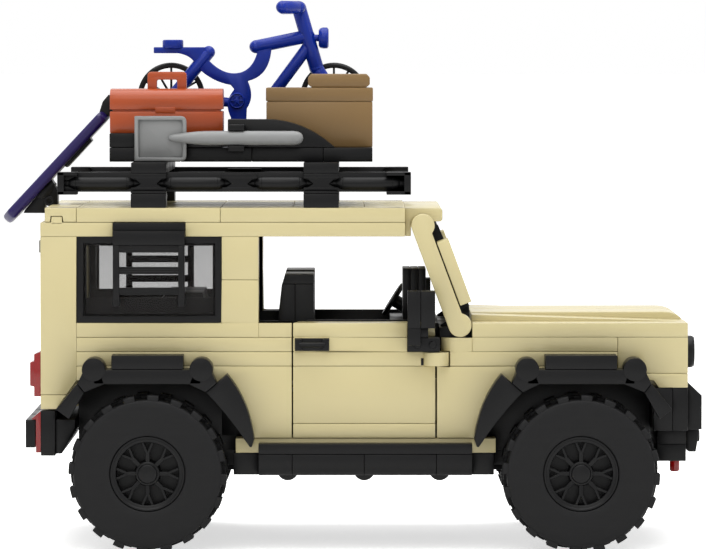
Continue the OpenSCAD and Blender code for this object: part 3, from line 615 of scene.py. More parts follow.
for start, end in zip(top_lines, top_lines[1:]):
    for lane in (-3, -1, 1):
        roof_parts.append(block(seamed(sx(start), sx(end)), seamed(lane * STUD, (lane + 2) * STUD),
                                (ROOF_LOW + 0.3, ROOF - 0.05)))
roof_parts.append(block(seamed(sx(1), sx(A_POST)), seamed(-CABIN, CABIN), (ROOF_LOW, ROOF_LOW + 0.5)))
done("roof_tiles", "body", "tan_plastic", roof_parts, replaces="roof")
done("roof_visor_slope", "body", "tan_plastic", [cad_copy("roof_visor")], edge=0.18, replaces="roof_visor")

# hood: side tiles with a lip, sloped wedges and a rounded nose
hood_parts = both_sides([
    block((sx(COWL) + SEAM, FRONT), (-HALF, -CABIN - SEAM), (pz(7) + SEAM, pz(8)))])
hood_parts += both_sides([outline([(sx(COWL), pz(7)), (FRONT, pz(7)), (FRONT, pz(8)),
    (sx(COWL), pz(8) + 1.5)], seamed(-CABIN, -2 * STUD))])
hood_top = corners("hood")[1].z
nose = [(FRONT, pz(8) - 0.7)] + bend((FRONT, pz(8) - 0.7), (FRONT - 0.8, hood_top), (FRONT - 4.8, hood_top),
    10)[1:]
for low_y, high_y in ((-2 * STUD, 0), (0, 2 * STUD)):
    hood_parts.append(outline([(sx(COWL), pz(7)), (FRONT, pz(7))] + nose + [(sx(COWL), hood_top - 0.1)],
                              seamed(low_y, high_y)))
done("hood_slopes", "body", "tan_plastic", hood_parts, edge=0.16, replaces="hood")
done("nose_frame", "body", "tan_plastic", [cad_copy("nose_panel")], replaces="nose_panel")
done("windscreen_arms", "body", "tan_plastic", [cad_copy("windscreen_posts")], edge=0.22,
    replaces="windscreen_posts", sharp=45)
done("floor_plate", "body", "tan_plastic", [cad_copy("cabin_floor")], replaces="cabin_floor")
shelf = [block(seamed(sx(1), sx(3)), (-CABIN, -CABIN + STUD), (pz(7) + SEAM, pz(8))),
         block(seamed(sx(3), sx(5)), (-CABIN, -CABIN + STUD), (pz(7) + SEAM, pz(8)))]
shelf += [stud(sx(n + 0.5), -CABIN + STUD / 2, pz(8)) for n in range(1, 5)]
done("studded_ledges", "body", "tan_plastic", both_sides(shelf), replaces="load_floor")

# grille and lamps
grille_low, grille_high = corners("grille")
grille_parts = [block((grille_low.x, grille_low.x + 1.2), (grille_low.y, grille_high.y),
    (grille_low.z, grille_high.z)), block((grille_low.x, grille_high.x), (grille_low.y, grille_high.y),
    (grille_low.z, grille_low.z + 1.1)), block((grille_low.x, grille_high.x), (grille_low.y, grille_high.y),
    (grille_high.z - 1.1, grille_high.z))]
for n in range(6):
    y = grille_low.y + 0.9 + n * (grille_high.y - grille_low.y - 1.8) / 5
    grille_parts.append(block((grille_low.x, grille_high.x), about(y, 0.8),
        (grille_low.z + 0.6, grille_high.z - 0.6)))
done("slotted_grille", "body", "black_plastic", grille_parts, replaces="grille")
lamp_low, lamp_high = corners("headlights")
lamp_r = (lamp_high.z - lamp_low.z) / 2
lamp_z, lamp_y = (lamp_high.z + lamp_low.z) / 2, lamp_high.y - lamp_r
done("lamp_lenses", "body", "clear_lens", both_sides([turned(
    [(0, 0.9), (lamp_r - 0.8, 0.9), (lamp_r - 0.8, 3.2), (lamp_r - 1.3, 3.7), (1.2, 4.0), (0, 4.05)],
    (lamp_low.x, -lamp_y, lamp_z), "X", 40)]), edge=0, replaces="headlights")
done("lamp_rings", "body", "black_plastic", both_sides([turned([(0, 0), (lamp_r, 0), (lamp_r, 3.6),
    (lamp_r - 0.3, 4.2), (lamp_r - 0.75, 4.2), (lamp_r - 0.75, 0.85), (0, 0.85)],
    (lamp_low.x, -lamp_y, lamp_z), "X", 40)]), edge=0.08)

# windows
for node, name in (("windscreen_glass", "windscreen_pane"), ("side_window_glass", "side_window_panes"),
                   ("rear_door_glass", "tailgate_pane")):
    done(name, "tailgate" if node == "rear_door_glass" else "body", "smoke_window", [cad_copy(node)],
        edge=0.1, replaces=node)
frame_low, frame_high = corners("side_window_frames")
frame_parts = [cad_copy("side_window_frames")]
BORDER, LIP = 1.45, 2.05
left, right = frame_low.x + BORDER, frame_high.x - BORDER
bottom, top = frame_low.z + BORDER, frame_high.z - BORDER
for x0, x1, z0, z1 in ((left, right, bottom, frame_low.z + LIP), (left, right, frame_high.z - LIP, top),
                       (left, frame_low.x + LIP, bottom, top), (frame_high.x - LIP, right, bottom, top)):
    frame_parts += both_sides([block((x0, x1), (-HALF + 3.0, -HALF + 3.8), (z0, z1))])
done("window_frames", "body", "black_plastic", frame_parts, replaces="side_window_frames")
cowl_low, cowl_high = corners("cowl")
cowl_parts = [keep(cad_copy("cowl"), y=seamed(a, b)) for a, b in
              ((cowl_low.y - 1, -2 * STUD), (-2 * STUD, 0), (0, 2 * STUD), (2 * STUD, cowl_high.y + 1))]
done("cowl_plates", "body", "black_plastic", cowl_parts, replaces="cowl")

# painted shade: black panels on the inner faces of the walls and doors, and behind the windscreen posts, stand
# in for the shadow inside the cabin
WALL_SHADE_SPAN = (-CABIN + 0.05, -CABIN + 0.75)
POST_SHADE_OUTLINE = [(HINGE + a, pz(7) + b) for a, b in ((-0.9, 25.4), (0.5, 24.8), (2.0, 21.3), (7.5, 6.8),
    (7.7, -0.4), (1.1, -0.4), (1.1, 2.4), (3.6, 4.0), (-1.2, 22.6))]
done("cabin_shade_panels", "body", "black_plastic", both_sides([
    block((sx(5) + 0.1, sx(B_PILLAR) - 0.05), WALL_SHADE_SPAN, (pz(8) + 0.1, pz(14) - 0.1)),
    block((sx(5) + 0.1, sx(7) - 0.4), WALL_SHADE_SPAN, (DECK + 0.1, pz(8) + 0.1)),
    block((sx(1) + 0.3, sx(5) - 0.3), (-CABIN + 0.55, -CABIN + 1.3), (pz(7) + 1, pz(8) + 5.2)),
    outline(POST_SHADE_OUTLINE, (-CABIN + 0.1, -CABIN + 0.7)),
    block((sx(B_PILLAR) - 1.2, sx(B_PILLAR) - 0.05), WALL_SHADE_SPAN, (pz(8) + 0.1, pz(14) - 0.1))]), edge=0.08)
for side, out in (("right", -1), ("left", 1)):
    inner = min(abs(v.y) for v in corners("door_" + side))
    # painted shade: a black panel on the inner face of each door stands in for the shadow there
    done("door_shade_panel_" + side, side + "_door", "black_plastic",
        [block((sx(7) + 3.4, HINGE - 3.2), sorted((out * (inner - 0.02), out * (inner - 0.6))),
        (SILL + 0.6, pz(8) + 0.35))], edge=0.08)

# tailgate: plates in rows and a pull
gate_low = corners("rear_door")[0]
gate = []
for low_z, high_z in ((None, pz(5)), (pz(5), pz(7)), (pz(7), pz(8)), (pz(8), None)):
    gate.append(brick("rear_door", (None, None), (low_z, high_z)))
done("tailgate_bricks", "tailgate", "tan_plastic", gate, replaces="rear_door")
pull = [block((gate_low.x - 0.9, gate_low.x + 0.2), (13.0, 20.4), (pz(6) + 0.3, pz(7) - 0.3)),
        rod((gate_low.x - 1.1, 13.6, pz(6.5)), (gate_low.x - 1.1, 19.8, pz(6.5)), 0.55)]
done("tailgate_pull", "tailgate", "black_plastic", pull, edge=0.1)

# ------------------------------------------------------------------ arches, sills and bumpers
DISC_U = 11.9
DISC_R = 2.6
DISC_SIDES = 28


def disc(u, w, radius):
    return [(u + radius * math.cos(n * math.tau / DISC_SIDES),
             w + radius * math.sin(n * math.tau / DISC_SIDES))
            for n in range(DISC_SIDES)]


def flare_parts(axle_x, way, top, near, far):
    """One wheel arch: a top tile, a bar with round ends, and sloped and curved pieces each side."""
    def place(points):
        return [(axle_x + way * u, top + w) for u, w in points]
    def piece(points, a, b):
        return outline(place(points), sorted((a, b)))
    deep = near + (far - near) * 0.12
    parts = [piece([(-STUD + 0.05, 0.1), (STUD - 0.05, 0.1), (STUD - 0.05, 3.15), (-STUD + 0.05, 3.15)], near,
        far), piece([(-DISC_U, -PLATE), (DISC_U, -PLATE), (DISC_U, 0), (-DISC_U, 0)], near, far)]
    proud = near + (near - far) * 0.012
    for u in (-DISC_U, DISC_U):
        parts.append(outline(disc(axle_x + way * u, top, DISC_R), sorted((proud, far))))
    parts += [
        piece([(DISC_U - 2.4, -PLATE), (13.95, -5.0), (15.5, -3.05), (DISC_U + 2.4, -0.6), (DISC_U, 0),
            (DISC_U - 1.6, -0.4)], near, far),
        piece([(14.05, -5.1), (17.4, -11), (20.2, -8.9), (15.6, -3.1)], deep, far),
        piece([(-DISC_U + 1.6, -0.4), (-DISC_U, 0), (-DISC_U - 2.4, -0.6), (-15.3, -3.0), (-12.9, -5.0),
            (-9.2, -PLATE)], near, far)]
    upper = bend((-17.6, -1.1), (-22.6, -7), (-23.6, SILL - top), 16)
    lower = bend((-22.6, SILL - 1.6 - top), (-18.3, -10.6), (-13.0, -5.1), 8)
    parts.append(piece(upper + [(-23.1, SILL - 1.6 - top)] + lower, deep, far))
    return parts


for end, way in (("rear", -1), ("front", 1)):
    for side in ("right", "left"):
        node = f"flare_{end}_{side}"
        low, high = corners(node)
        wheel_low, wheel_high = corners(f"tyre_{end}_{side}")
        near, far = (low.y, high.y) if side == "right" else (high.y, low.y)
        done("arch_" + node[6:], "body", "black_plastic",
             flare_parts((wheel_low.x + wheel_high.x) / 2, way, high.z - PLATE, near, far),
             edge=0.16, replaces=node, sharp=30)

sill_low, sill_high = corners("sills")
under_sill = DECK - 8.1
sill_parts = []
for start, end in ((B_PILLAR, 7), (7, 9), (9, 11), (11, COWL)):
    across = [(sill_low.y + 3, under_sill), (-HALF + 0.4, under_sill), (-HALF + 0.4, DECK - 3.3),
        (sill_low.y, DECK - 3.3)]
    across += bend((sill_low.y, under_sill + 3), (sill_low.y, under_sill), (sill_low.y + 3, under_sill),
        8)[:-1]
    sill_parts.append(outline(across, seamed(sx(start), sx(end)), "X"))
sill_parts.append(block(seamed(sx(B_PILLAR), sx(COWL)), (sill_low.y, -HALF + 0.4), (DECK - 3.2, DECK - 0.9)))
for start, end in ((sill_low.x, sx(B_PILLAR)), (sx(B_PILLAR) + 0.1, sx(COWL) - 0.1), (sx(COWL), sill_high.x)):
    sill_parts.append(block((start, end), (-HALF + 0.45, -CABIN - 0.1), (DECK - 8.1, DECK - 3.3)))
for n in (6.87, 9, 11.1):
    sill_parts.append(rod((sx(n), -HALF + 0.6, DECK - 7.0), (sx(n), -CABIN - 0.2, DECK - 7.0), STUD_R,
        sides=28))
done("sill_slopes", "body", "black_plastic", both_sides(sill_parts), replaces="sills")

bf_low = corners("bumper_front")[0]
bumper_bottom, bumper_top = NOSE_LOW - 9.6, NOSE_LOW - 0.1
front_bumper = []
for a, b in ((-HALF, -CABIN), (CABIN, HALF)):
    front_bumper += [
        block((bf_low.x, FRONT - 3.4), (a, b), (bumper_bottom, bumper_top)),
        block((FRONT - 3.35, FRONT), (a, b), (bumper_bottom, bumper_top))]
front_bumper.append(block((bf_low.x, FRONT), (-CABIN, CABIN), (bumper_bottom, bumper_top)))
lip_x = FRONT + 3.4
for a, b in ((-HALF + 4, -2 * STUD), (-2 * STUD, 0), (0, 2 * STUD), (2 * STUD, HALF - 4)):
    front_bumper.append(outline([(FRONT, bumper_bottom), (lip_x, bumper_bottom), (lip_x, NOSE_LOW - 2),
                                 (FRONT + 0.6, NOSE_LOW + 0.6), (FRONT, NOSE_LOW + 0.6)], seamed(a, b)))
front_bumper += [
    block((FRONT - 6.1, FRONT + 0.4), (-20, 20), (bf_low.z, NOSE_LOW - 13.5)),
    block((FRONT - 6.1, FRONT + 0.4), (-20, 20), (NOSE_LOW - 13.46, NOSE_LOW - 9.65)),
    block((FRONT + 0.3, FRONT + 3.2), (-8, 8), (NOSE_LOW - 13.1, NOSE_LOW - 9.7))]
done("front_bumper_bricks", "body", "black_plastic", front_bumper, replaces="bumper_front")
hook_low, hook_high = corners("tow_hooks")
HOOK_Y = -14
hooks = [outline([(hook_low.x, hook_high.z), (hook_low.x, hook_low.z + 0.6), (hook_low.x + 0.7, hook_low.z),
    (hook_low.x + 2.3, hook_low.z), (hook_low.x + 3.0, hook_high.z - 1.4), (hook_low.x + 3.0, hook_high.z)],
    about(HOOK_Y, 3.2)), rod((hook_high.x - 2.4, HOOK_Y, hook_high.z - 2.2),
    (hook_high.x, HOOK_Y, hook_high.z - 2.2), 1.3, sides=20)]
done("tow_hook_clips", "body", "black_plastic", both_sides(hooks), replaces="tow_hooks")
pin_low, pin_high = corners("tow_pin")
pin_x = (pin_low.x + pin_high.x) / 2
done("red_pin", "body", "red_lens", [turned([(0, 0), (0.85, 0), (1.12, 0.35), (1.12, 3.85), (0, 3.85)],
     (pin_x, 0, pin_low.z), "Z", 24)], edge=0.05, replaces="tow_pin")

br_low, br_high = corners("bumper_rear")
rear_bumper = []
for a, b in ((-HALF, -CABIN), (-CABIN, 0), (0, CABIN), (CABIN, HALF)):
    rear_bumper.append(block((REAR, REAR + 3.2), seamed(a, b), (br_high.z - 10, br_high.z)))
for a, b in ((-HALF + 0.2, -2 * STUD), (-2 * STUD, 0), (0, 2 * STUD), (2 * STUD, HALF - 0.2)):
    rear_bumper += [
        block((br_low.x, REAR - 1.25), seamed(a, b), (br_high.z - 8.2, br_high.z - 2)),
        block((REAR - 1.25, REAR - 0.02), seamed(max(a, -CABIN + 0.1), min(b, CABIN - 0.1)),
            (br_high.z - 8.0, br_high.z - 2.2))]
rear_bumper.append(outline([(REAR + 3.2, br_high.z - 9.6), (REAR + 4.6, br_high.z - 9.6),
    (REAR + 7.6, br_high.z - 4), (REAR + 7.6, br_high.z - 2), (REAR + 3.2, br_high.z - 2)],
    (-HALF + 1, HALF - 1)))
done("rear_bumper_bricks", "body", "black_plastic", rear_bumper, replaces="bumper_rear")
done("tail_lamps", "body", "red_lens", [cad_copy("tail_lights")], edge=0.1, replaces="tail_lights")
done("rear_light_clips", "body", "grey_plastic", both_sides([
    block((REAR - 0.45, REAR + 0.3), (-HALF + 2.2, -HALF + 5.8), (pz(13) - 0.4, pz(13) + 2.3))]), edge=0.12)

# ladders, mirrors
lad_low, lad_high = corners("side_ladders")
lx0, lx1 = lad_low.x, lad_high.x
out_y = lad_low.y
ladder = [block((lx0, lx1), (-HALF - 0.6, -CABIN - 0.05), (pz(14) + 0.1, pz(15) - 0.1)),
          block((lx0, lx1), (out_y, -HALF - 0.05), (pz(14) - 1.8, pz(15) - 1.9))]
for x in (lx0 + 0.75, lx1 - 0.75):
    ladder += [
        block(about(x, 0.72), (out_y + 0.05, -HALF - 0.75), (lad_low.z, pz(14) - 1.85)),
        rod((x, out_y + 0.8, lad_low.z + 0.1), (x, out_y + 0.8, lad_low.z + 1.6), 0.85, sides=16)]
for rung in (pz(14) - 2.6, pz(14) - 7.4, pz(14) - 12.0):
    ladder += [
        block((lx0 + 0.6, lx1 - 0.6), (out_y + 0.3, -HALF - 0.85), (rung - 0.85, rung + 0.75)),
        block((lx0 + 0.6, lx1 - 0.6), (out_y + 0.1, out_y + 0.5), (rung - 0.2, rung + 0.3))]
done("hook_on_ladders", "body", "black_plastic", both_sides(ladder), edge=0.12, replaces="side_ladders")

for side, out in (("right", -1), ("left", 1)):
    low, high = corners("mirror_" + side)
    base_top = pz(7)
    shell_low = pz(8) - 0.9
    y_out, y_in = out * (HALF + 5.6), out * (HALF + 0.6)
    x1 = high.x - 1.1
    mid_x = x1 - 3.2
    parts = [block((low.x, high.x), beyond(out, 2.4, -3.2), (low.z, base_top - 0.02)),
             block((low.x + 1.0, high.x - 2.6), beyond(out, 2.0, -3.0), (base_top, pz(8) - 0.95)),
             block((x1 - 6.1, mid_x - SEAM), sorted((y_out, y_in)), (shell_low, high.z)),
             block((mid_x + SEAM, x1), sorted((y_out, y_in)), (shell_low, high.z)),
             block((x1 - 6.1, mid_x - SEAM), beyond(out, 2.3, 5.4), (base_top - 1.5, shell_low + 0.1))]
    for x in (low.x + 2.2, high.x - 1.6):
        parts.append(rod((x, out * (HALF + 2.2), (low.z + base_top) / 2),
            (x, out * (HALF + 2.75), (low.z + base_top) / 2), 0.95, 0.8, 20))
    done("mirror_bricks_" + side, side + "_door", "black_plastic", parts, replaces="mirror_" + side)

# ------------------------------------------------------------------ cabin
seat_low, seat_high = corners("seats")
belt = pz(8)
x0 = seat_low.x
seat_parts = []
seat_y0, seat_y1 = seat_low.y, seat_low.y + 2 * STUD - 0.2
for a, b in ((seat_y0, (seat_y0 + seat_y1) / 2), ((seat_y0 + seat_y1) / 2, seat_y1)):
    seat_parts += [
        outline([(x0, belt + 1), (x0, pz(4)), (x0 + 3.75, pz(4)), (x0 + 3.75, belt + 8.1),
            (x0 + 0.8, belt + 8.1)], seamed(a, b)),
        block((x0 + 3.8, x0 + 8), seamed(a, b), (pz(4), belt + 8.1))]
seat_parts += [
    outline([(x0 + 0.9, belt + 8.15), (x0 + 8, belt + 8.15), (x0 + 8, seat_high.z), (x0 + 1.5, seat_high.z)],
        (seat_y0 + 0.3, seat_y1 - 0.3)),
    block((x0, x0 + 15.5), (seat_y0, seat_y1), (seat_low.z, pz(3) - SEAM)),
    outline([(x0 + 8.05, pz(3)), (x0 + 15.5, pz(3)), (x0 + 15.5, pz(3.6)), (x0 + 14.9, pz(4)),
        (x0 + 8.05, pz(4))], (seat_y0 + 0.3, seat_y1 - 0.3))]
done("brick_seats", "body", "black_plastic", both_sides(seat_parts), replaces="seats")
rs_low, rs_high = corners("rear_seat")
bench = [block((rs_low.x, rs_high.x), (rs_low.y, rs_high.y), (rs_low.z, rs_high.z - 6.3))]
for back_y in ((rs_low.y, -0.02), (0.02, rs_high.y)):
    bench.append(outline([(rs_low.x + 16, rs_high.z - 6.2), (rs_high.x, rs_high.z - 6.2),
        (rs_high.x - 1.2, rs_high.z), (rs_low.x + 18, rs_high.z), (rs_low.x + 16, rs_high.z - 2)], back_y))
for ix in range(2):
    for iy in (-12, -4, 4, 12):
        bench.append(stud(rs_low.x + 4 + 8 * ix, iy, rs_high.z - 6.3))
done("rear_bench", "body", "black_plastic", bench, replaces="rear_seat")
dash_low, dash_high = corners("dashboard")
shelf_z = pz(8) - 0.4
dash = [block((dash_low.x + 2.4, dash_high.x), (dash_low.y, dash_high.y), (dash_low.z, shelf_z - 3.25)),
    block((dash_low.x + 0.4, dash_high.x), (dash_low.y, dash_high.y), (shelf_z - 3.2, shelf_z)),
    outline([(dash_low.x, shelf_z - 6.4), (dash_low.x + 3, shelf_z - 6.4), (dash_low.x + 3, shelf_z - 3.3),
    (dash_low.x + 1.2, shelf_z - 3.3)], (-8, 8))]
for start, end in ((7.2, 5.5), (5.45, 3.7), (3.65, 2)):
    dash.append(block((HINGE - start, HINGE - end), (-10, 6), (shelf_z + SEAM, dash_high.z)))
for y in (-5.2, 0, 5.2):
    dash.append(rod((dash_low.x + 3.0, y, dash_low.z + 3.2), (dash_low.x + 2.0, y, dash_low.z + 3.2), 1.7,
        sides=24))
done("dashboard_bricks", "body", "black_plastic", dash, replaces="dashboard")
sw_low, sw_high = corners("steering_wheel")
tilt = math.radians(32)
grip_at = Vector((HINGE - 9.2, (sw_low.y + sw_high.y) / 2, pz(8) + 3.2))
way = Vector((-math.cos(tilt), 0, math.sin(tilt)))
wheel_ring = turned([(3.5, -0.55), (4.15, -0.5), (4.3, 0), (4.15, 0.5), (3.5, 0.55), (3.3, 0)], (0, 0, 0),
    "Z", 40)
wheel_parts = [wheel_ring, turned([(0, -0.6), (1.5, -0.6), (1.6, 0.2), (1.2, 0.6), (0, 0.6)], (0, 0, 0), "Z",
    24)]
for n in range(3):
    angle = math.radians(90 + 120 * n)
    wheel_parts.append(rod((1.2 * math.cos(angle), 1.2 * math.sin(angle), 0),
        (3.6 * math.cos(angle), 3.6 * math.sin(angle), 0), 0.45, sides=12))
turn = way.to_track_quat("Z", "Y").to_matrix()
for part in wheel_parts:
    for vertex in part.data.vertices:
        vertex.co = turn @ vertex.co + grip_at * MM
wheel_parts.append(rod(grip_at - way * 4.2, grip_at - way * 0.3, BAR_R - 0.1, sides=20))
done("round_steering_wheel", "body", "black_plastic", wheel_parts, edge=0.06, replaces="steering_wheel")

# ------------------------------------------------------------------ roof rack and tray
tray_low, tray_high = corners("cargo_tray")
TRAY = corners("roof_rack")[1].z
LOAD = TRAY + 2 * PLATE
RAIL_Y = HALF - 4
RAIL = ROOF + 5.4
POSTS = (3, 7.8)
CLIPS = (3, 5.53, 7.8)
CLIP = 3.9         # half of the length of a clip and of its post

rack = []
stops = [sx(0.46) + 1.2, *[sx(n) for n in CLIPS], sx(10.3) - 1.2]
for number, (start, end) in enumerate(zip(stops, stops[1:])):
    a = start + (1.2 if number == 0 else 3.2)
    b = end - (1.2 if number == 3 else 3.2)
    # each tube swells to a long oval between the clips and tapers into them
    rack += [
        rod((start, -RAIL_Y, RAIL), (end, -RAIL_Y, RAIL), 0.95, sides=20),
        rod((a, -RAIL_Y, RAIL), (a + 1.6, -RAIL_Y, RAIL), 1.0, BAR_R, 24),
        rod((a + 1.6, -RAIL_Y, RAIL), (b - 1.6, -RAIL_Y, RAIL), BAR_R, sides=24),
        rod((b - 1.6, -RAIL_Y, RAIL), (b, -RAIL_Y, RAIL), BAR_R, 1.0, 24)]
for n in CLIPS:
    x = sx(n)
    for low, high in ((-1.7, -0.9), (1.1, 2.2)):
        rack.append(block(about(x, CLIP), about(-RAIL_Y, 2.2), (RAIL + low, RAIL + high)))
    rack += [
        outline([(x - 3.2, RAIL - 1.0), (x + 3.2, RAIL - 1.0), (x + 1.7, RAIL - 0.1), (x + 3.2, RAIL + 1.2),
            (x - 3.2, RAIL + 1.2), (x - 1.7, RAIL - 0.1)], (-RAIL_Y - 2.15, -RAIL_Y + 1.9)),
        block(about(x, CLIP), (-RAIL_Y + 1.2, -RAIL_Y + 2.2), (RAIL - 1.6, RAIL + 2.0))]
for a, b, cap in ((sx(0.46), sx(1.01), 1), (sx(9.62), sx(10.3), -1)):
    rack += [
        block((a, b), (-RAIL_Y - 0.6, -RAIL_Y + 2.5), about(RAIL, 2.5)),
        block((a, b), about(-RAIL_Y, 2.5), (RAIL - 2.5, RAIL - 1.75)),
        block((a, b), about(-RAIL_Y, 2.5), (RAIL + 1.75, RAIL + 2.5))]
    edge_x = (a, a + 1.5) if cap > 0 else (b - 1.5, b)
    rack.append(block(edge_x, (-RAIL_Y - 2.5, -RAIL_Y), about(RAIL, 2.5)))
for n in POSTS:
    x = sx(n)
    rack += [
        block(about(x, CLIP), about(-RAIL_Y, 3.9), (ROOF + 0.02, ROOF + PLATE - SEAM)),
        block(about(x, CLIP), about(-RAIL_Y, 3.9), (ROOF + PLATE + SEAM, RAIL - 1.7))]
rack.append(block((sx(0.46) + 4.4, sx(10.3) - 0.2), (-28.6, -27.6), (RAIL - 1.9, RAIL + 2.5)))
rack = both_sides(rack)
for n in POSTS:
    x = sx(n)
    for a, b in ((-RAIL_Y - 2, -STUD), (-STUD, STUD), (STUD, RAIL_Y + 2)):
        rack.append(block(about(x, CLIP), seamed(a, b), (RAIL + 2.2, TRAY)))
done("clipped_rack_rails", "body", "black_plastic", rack, edge=0.12, replaces="roof_rack", sharp=30)

SLOPE_Y = -20 + STUD
deck_y = 4.0
tx0, tx1 = tray_low.x, tray_high.x
tray_parts = []
tray_lines = [tx0, tx0 + 2 * STUD, tx0 + 4 * STUD, tx0 + 6 * STUD, tx1]
for start, end in zip(tray_lines, tray_lines[1:]):
    for a, b in ((-20, -12), (-12, 4), (4, 20)):
        tray_parts.append(block(seamed(start, end), seamed(a, b), (TRAY + 0.02, TRAY + PLATE - SEAM)))
        if b == 20:
            tray_parts.append(block(seamed(start, end), seamed(a, b), (TRAY + PLATE + SEAM, LOAD)))
for n in range(3):
    start, end = tx0 + n * 8.45, min(tx0 + (n + 1) * 8.45, tx0 + 25.4)
    tray_parts.append(block(seamed(start, end), (-20, deck_y), (TRAY + PLATE + SEAM, LOAD)))
u = tx0 + 26.6
rise = 2 * PLATE - 0.1
low = TRAY + PLATE + SEAM
tray_parts.append(outline([(u, low), (u, low + rise)] + bend((u + 8.4, low + rise), (u + 17, low + rise),
    (u + 24, low), 16), (-20, SLOPE_Y)))
shovel_low = corners("shovel")[0]
handle_z = TRAY + PLATE + 2.2
for way in (-1, 1):
    z0, z1 = sorted((handle_z + way * (BAR_R + 0.1), handle_z + way * (BAR_R + 1.4)))
    tray_parts.append(block((tx0 + 26.8, tx0 + 30.4), (-24.3, -19.9), (z0, z1)))
tray_parts.append(block((tx0 + 26.9, tx0 + 30.3), (-21.2, -19.9),
    (handle_z - BAR_R - 1.2, handle_z + BAR_R + 1.2)))
done("cargo_tray_plates", "body", "black_plastic", tray_parts, edge=0.14, replaces="cargo_tray")

# ------------------------------------------------------------------ toolbox, crate and shovel
box_low, box_high = corners("toolbox")
bx0, bx1 = box_low.x, box_high.x
by0, by1 = box_low.y, box_high.y
yc, mid = (by0 + by1) / 2, (bx0 + bx1) / 2
lid_top = box_high.z - 3.8
split = LOAD + 5.1
shoulder = lid_top - 2.6


def box_section(inset, low_z, high_z, crown):
    """Half-round lid or straight body of the toolbox, seen along its length, as (y, z) points."""
    a, b = by0 + inset, by1 - inset
    if not crown:
        return [(b, low_z), (a, low_z), (a, high_z), (b, high_z)]
    return ([(b, low_z), (a, low_z)] + bend((a, shoulder), (a + 0.2, lid_top), (yc - 2.6, lid_top), 10)
            + bend((yc + 2.6, lid_top), (b - 0.2, lid_top), (b, shoulder), 10))


toolbox = [outline(box_section(0, LOAD, split - 0.22, False), (bx0, bx1), "X"),
           outline(box_section(0.6, split - 0.4, split + 0.4, False), (bx0 + 0.6, bx1 - 0.6), "X"),
           outline(box_section(0, split + 0.22, lid_top, True), (bx0, bx1), "X")]
latch = (bx0 + 10.2, bx0 + 14.8)
toolbox.append(block(latch, (by0 - 0.1, by0 + 0.7), (split - 0.7, split + 0.8)))
left, right, in_left, in_right = mid - 4.4, mid + 4.4, mid - 2.3, mid + 2.3
foot_z, inner_z, top_z = lid_top - 1.2, lid_top + 2.0, lid_top + 3.8
grip = ([(left, foot_z), (left, lid_top + 2.6)]
        + bend((left, lid_top + 2.9), (left, top_z), (mid - 3.4, top_z), 4)
        + bend((mid + 3.4, top_z), (right, top_z), (right, lid_top + 2.9), 4)
        + [(right, foot_z), (in_right, foot_z), (in_right, lid_top + 1.5)]
        + bend((in_right, lid_top + 1.6), (in_right, inner_z), (mid + 1.9, inner_z), 3)
        + bend((mid - 1.9, inner_z), (in_left, inner_z), (in_left, lid_top + 1.6), 3)
        + [(in_left, lid_top + 1.5), (in_left, foot_z)])
toolbox.append(outline(grip, about(yc, 1.6)))
done("hinged_toolbox", "body", "rust_plastic", toolbox, edge=0.18, replaces="toolbox", sharp=35)

crate_low, crate_high = corners("crate")
cz = crate_low.z
lid_z = cz + 10.3
cx0, cx1 = crate_low.x + 0.1, crate_high.x - 0.1
cy0, cy1 = crate_low.y, crate_high.y - 0.1
crate = [
    block((cx0, cx1), (cy0, cy1), (cz, lid_z - 0.08)),
    block((cx0 + 0.3, cx1 - 0.3), (cy0 + 0.3, cy1 - 0.3), about(lid_z, 0.3)),
    block((cx0 - 0.1, cx1 + 0.1), (cy0, cy1 + 0.1), (lid_z + 0.02, lid_z + 3.1))]
ux0, ux1 = crate_low.x + 9.5, crate_high.x - 0.7
uz = lid_z + 3.1
cut = 0.9
case = [(ux0 + cut, uz + 0.02), (ux1 - cut, uz + 0.02), (ux1, uz + 0.7), (ux1, crate_high.z - 0.8),
        (ux1 - 0.7, crate_high.z), (ux0 + 0.7, crate_high.z), (ux0, crate_high.z - 0.8), (ux0, uz + 0.7)]
crate.append(outline(case, (crate_low.y + 0.8, crate_high.y - 0.9)))
done("crate_and_case", "body", "brown_plastic", crate, edge=0.22, replaces="crate")

sh_x = shovel_low.x
sh_y = -20 - 3.2
blade_low, blade_high = handle_z - 5.2, handle_z + 4.9
flat_x, blade_x = sh_x + 10.2, sh_x + 11.6
blade = [(sh_x, blade_low), (flat_x, blade_low)]
blade += bend((flat_x, blade_low), (blade_x, blade_low), (blade_x, handle_z - 3.8), 5)[1:]
blade += bend((blade_x, handle_z + 3.5), (blade_x, blade_high), (flat_x, blade_high), 5)
blade.append((sh_x, blade_high))
shovel = [outline(blade, (sh_y + 0.95, sh_y + 1.6))]
rim = loop([(a, sh_y + 0.2, b) for a, b in blade])
edit(rim)
bpy.ops.mesh.inset(thickness=0.85 * MM, depth=0)
bpy.ops.mesh.delete(type="FACE")
bpy.ops.mesh.select_all(action="SELECT")
bpy.ops.mesh.extrude_region_move(TRANSFORM_OT_translate={"value": Vector((0, 1.0, 0)) * MM})
close_up()
shovel.append(rim)
shaft = [(0, 0), (0.5, 0.35), (0.85, 1.4), (1.15, 3.6), (1.5, 6.8), (BAR_R, 9.0), (BAR_R, 28.2), (1.45, 29.2),
         (1.1, 29.9), (0.6, 30.25), (0, 30.4)]
shovel.append(turned(shaft, (sh_x + 7.4, sh_y, handle_z), "X", 32))
done("clipped_shovel", "body", "grey_plastic", shovel, edge=0.1, replaces="shovel", steps=1, sharp=50)

# ------------------------------------------------------------------ bicycle
wheel_low, wheel_high = corners("bike_wheel_rear")
front_low, front_high = corners("bike_wheel_front")
AX = (wheel_low.x + wheel_high.x) / 2
AZ = (wheel_low.z + wheel_high.z) / 2
BASE = (front_low.x + front_high.x) / 2 - AX
WHEEL_Y = (wheel_low.y + wheel_high.y) / 2
BIKE_Y = WHEEL_Y - 2.75
BIKE_R = (wheel_high.x - wheel_low.x) / 2


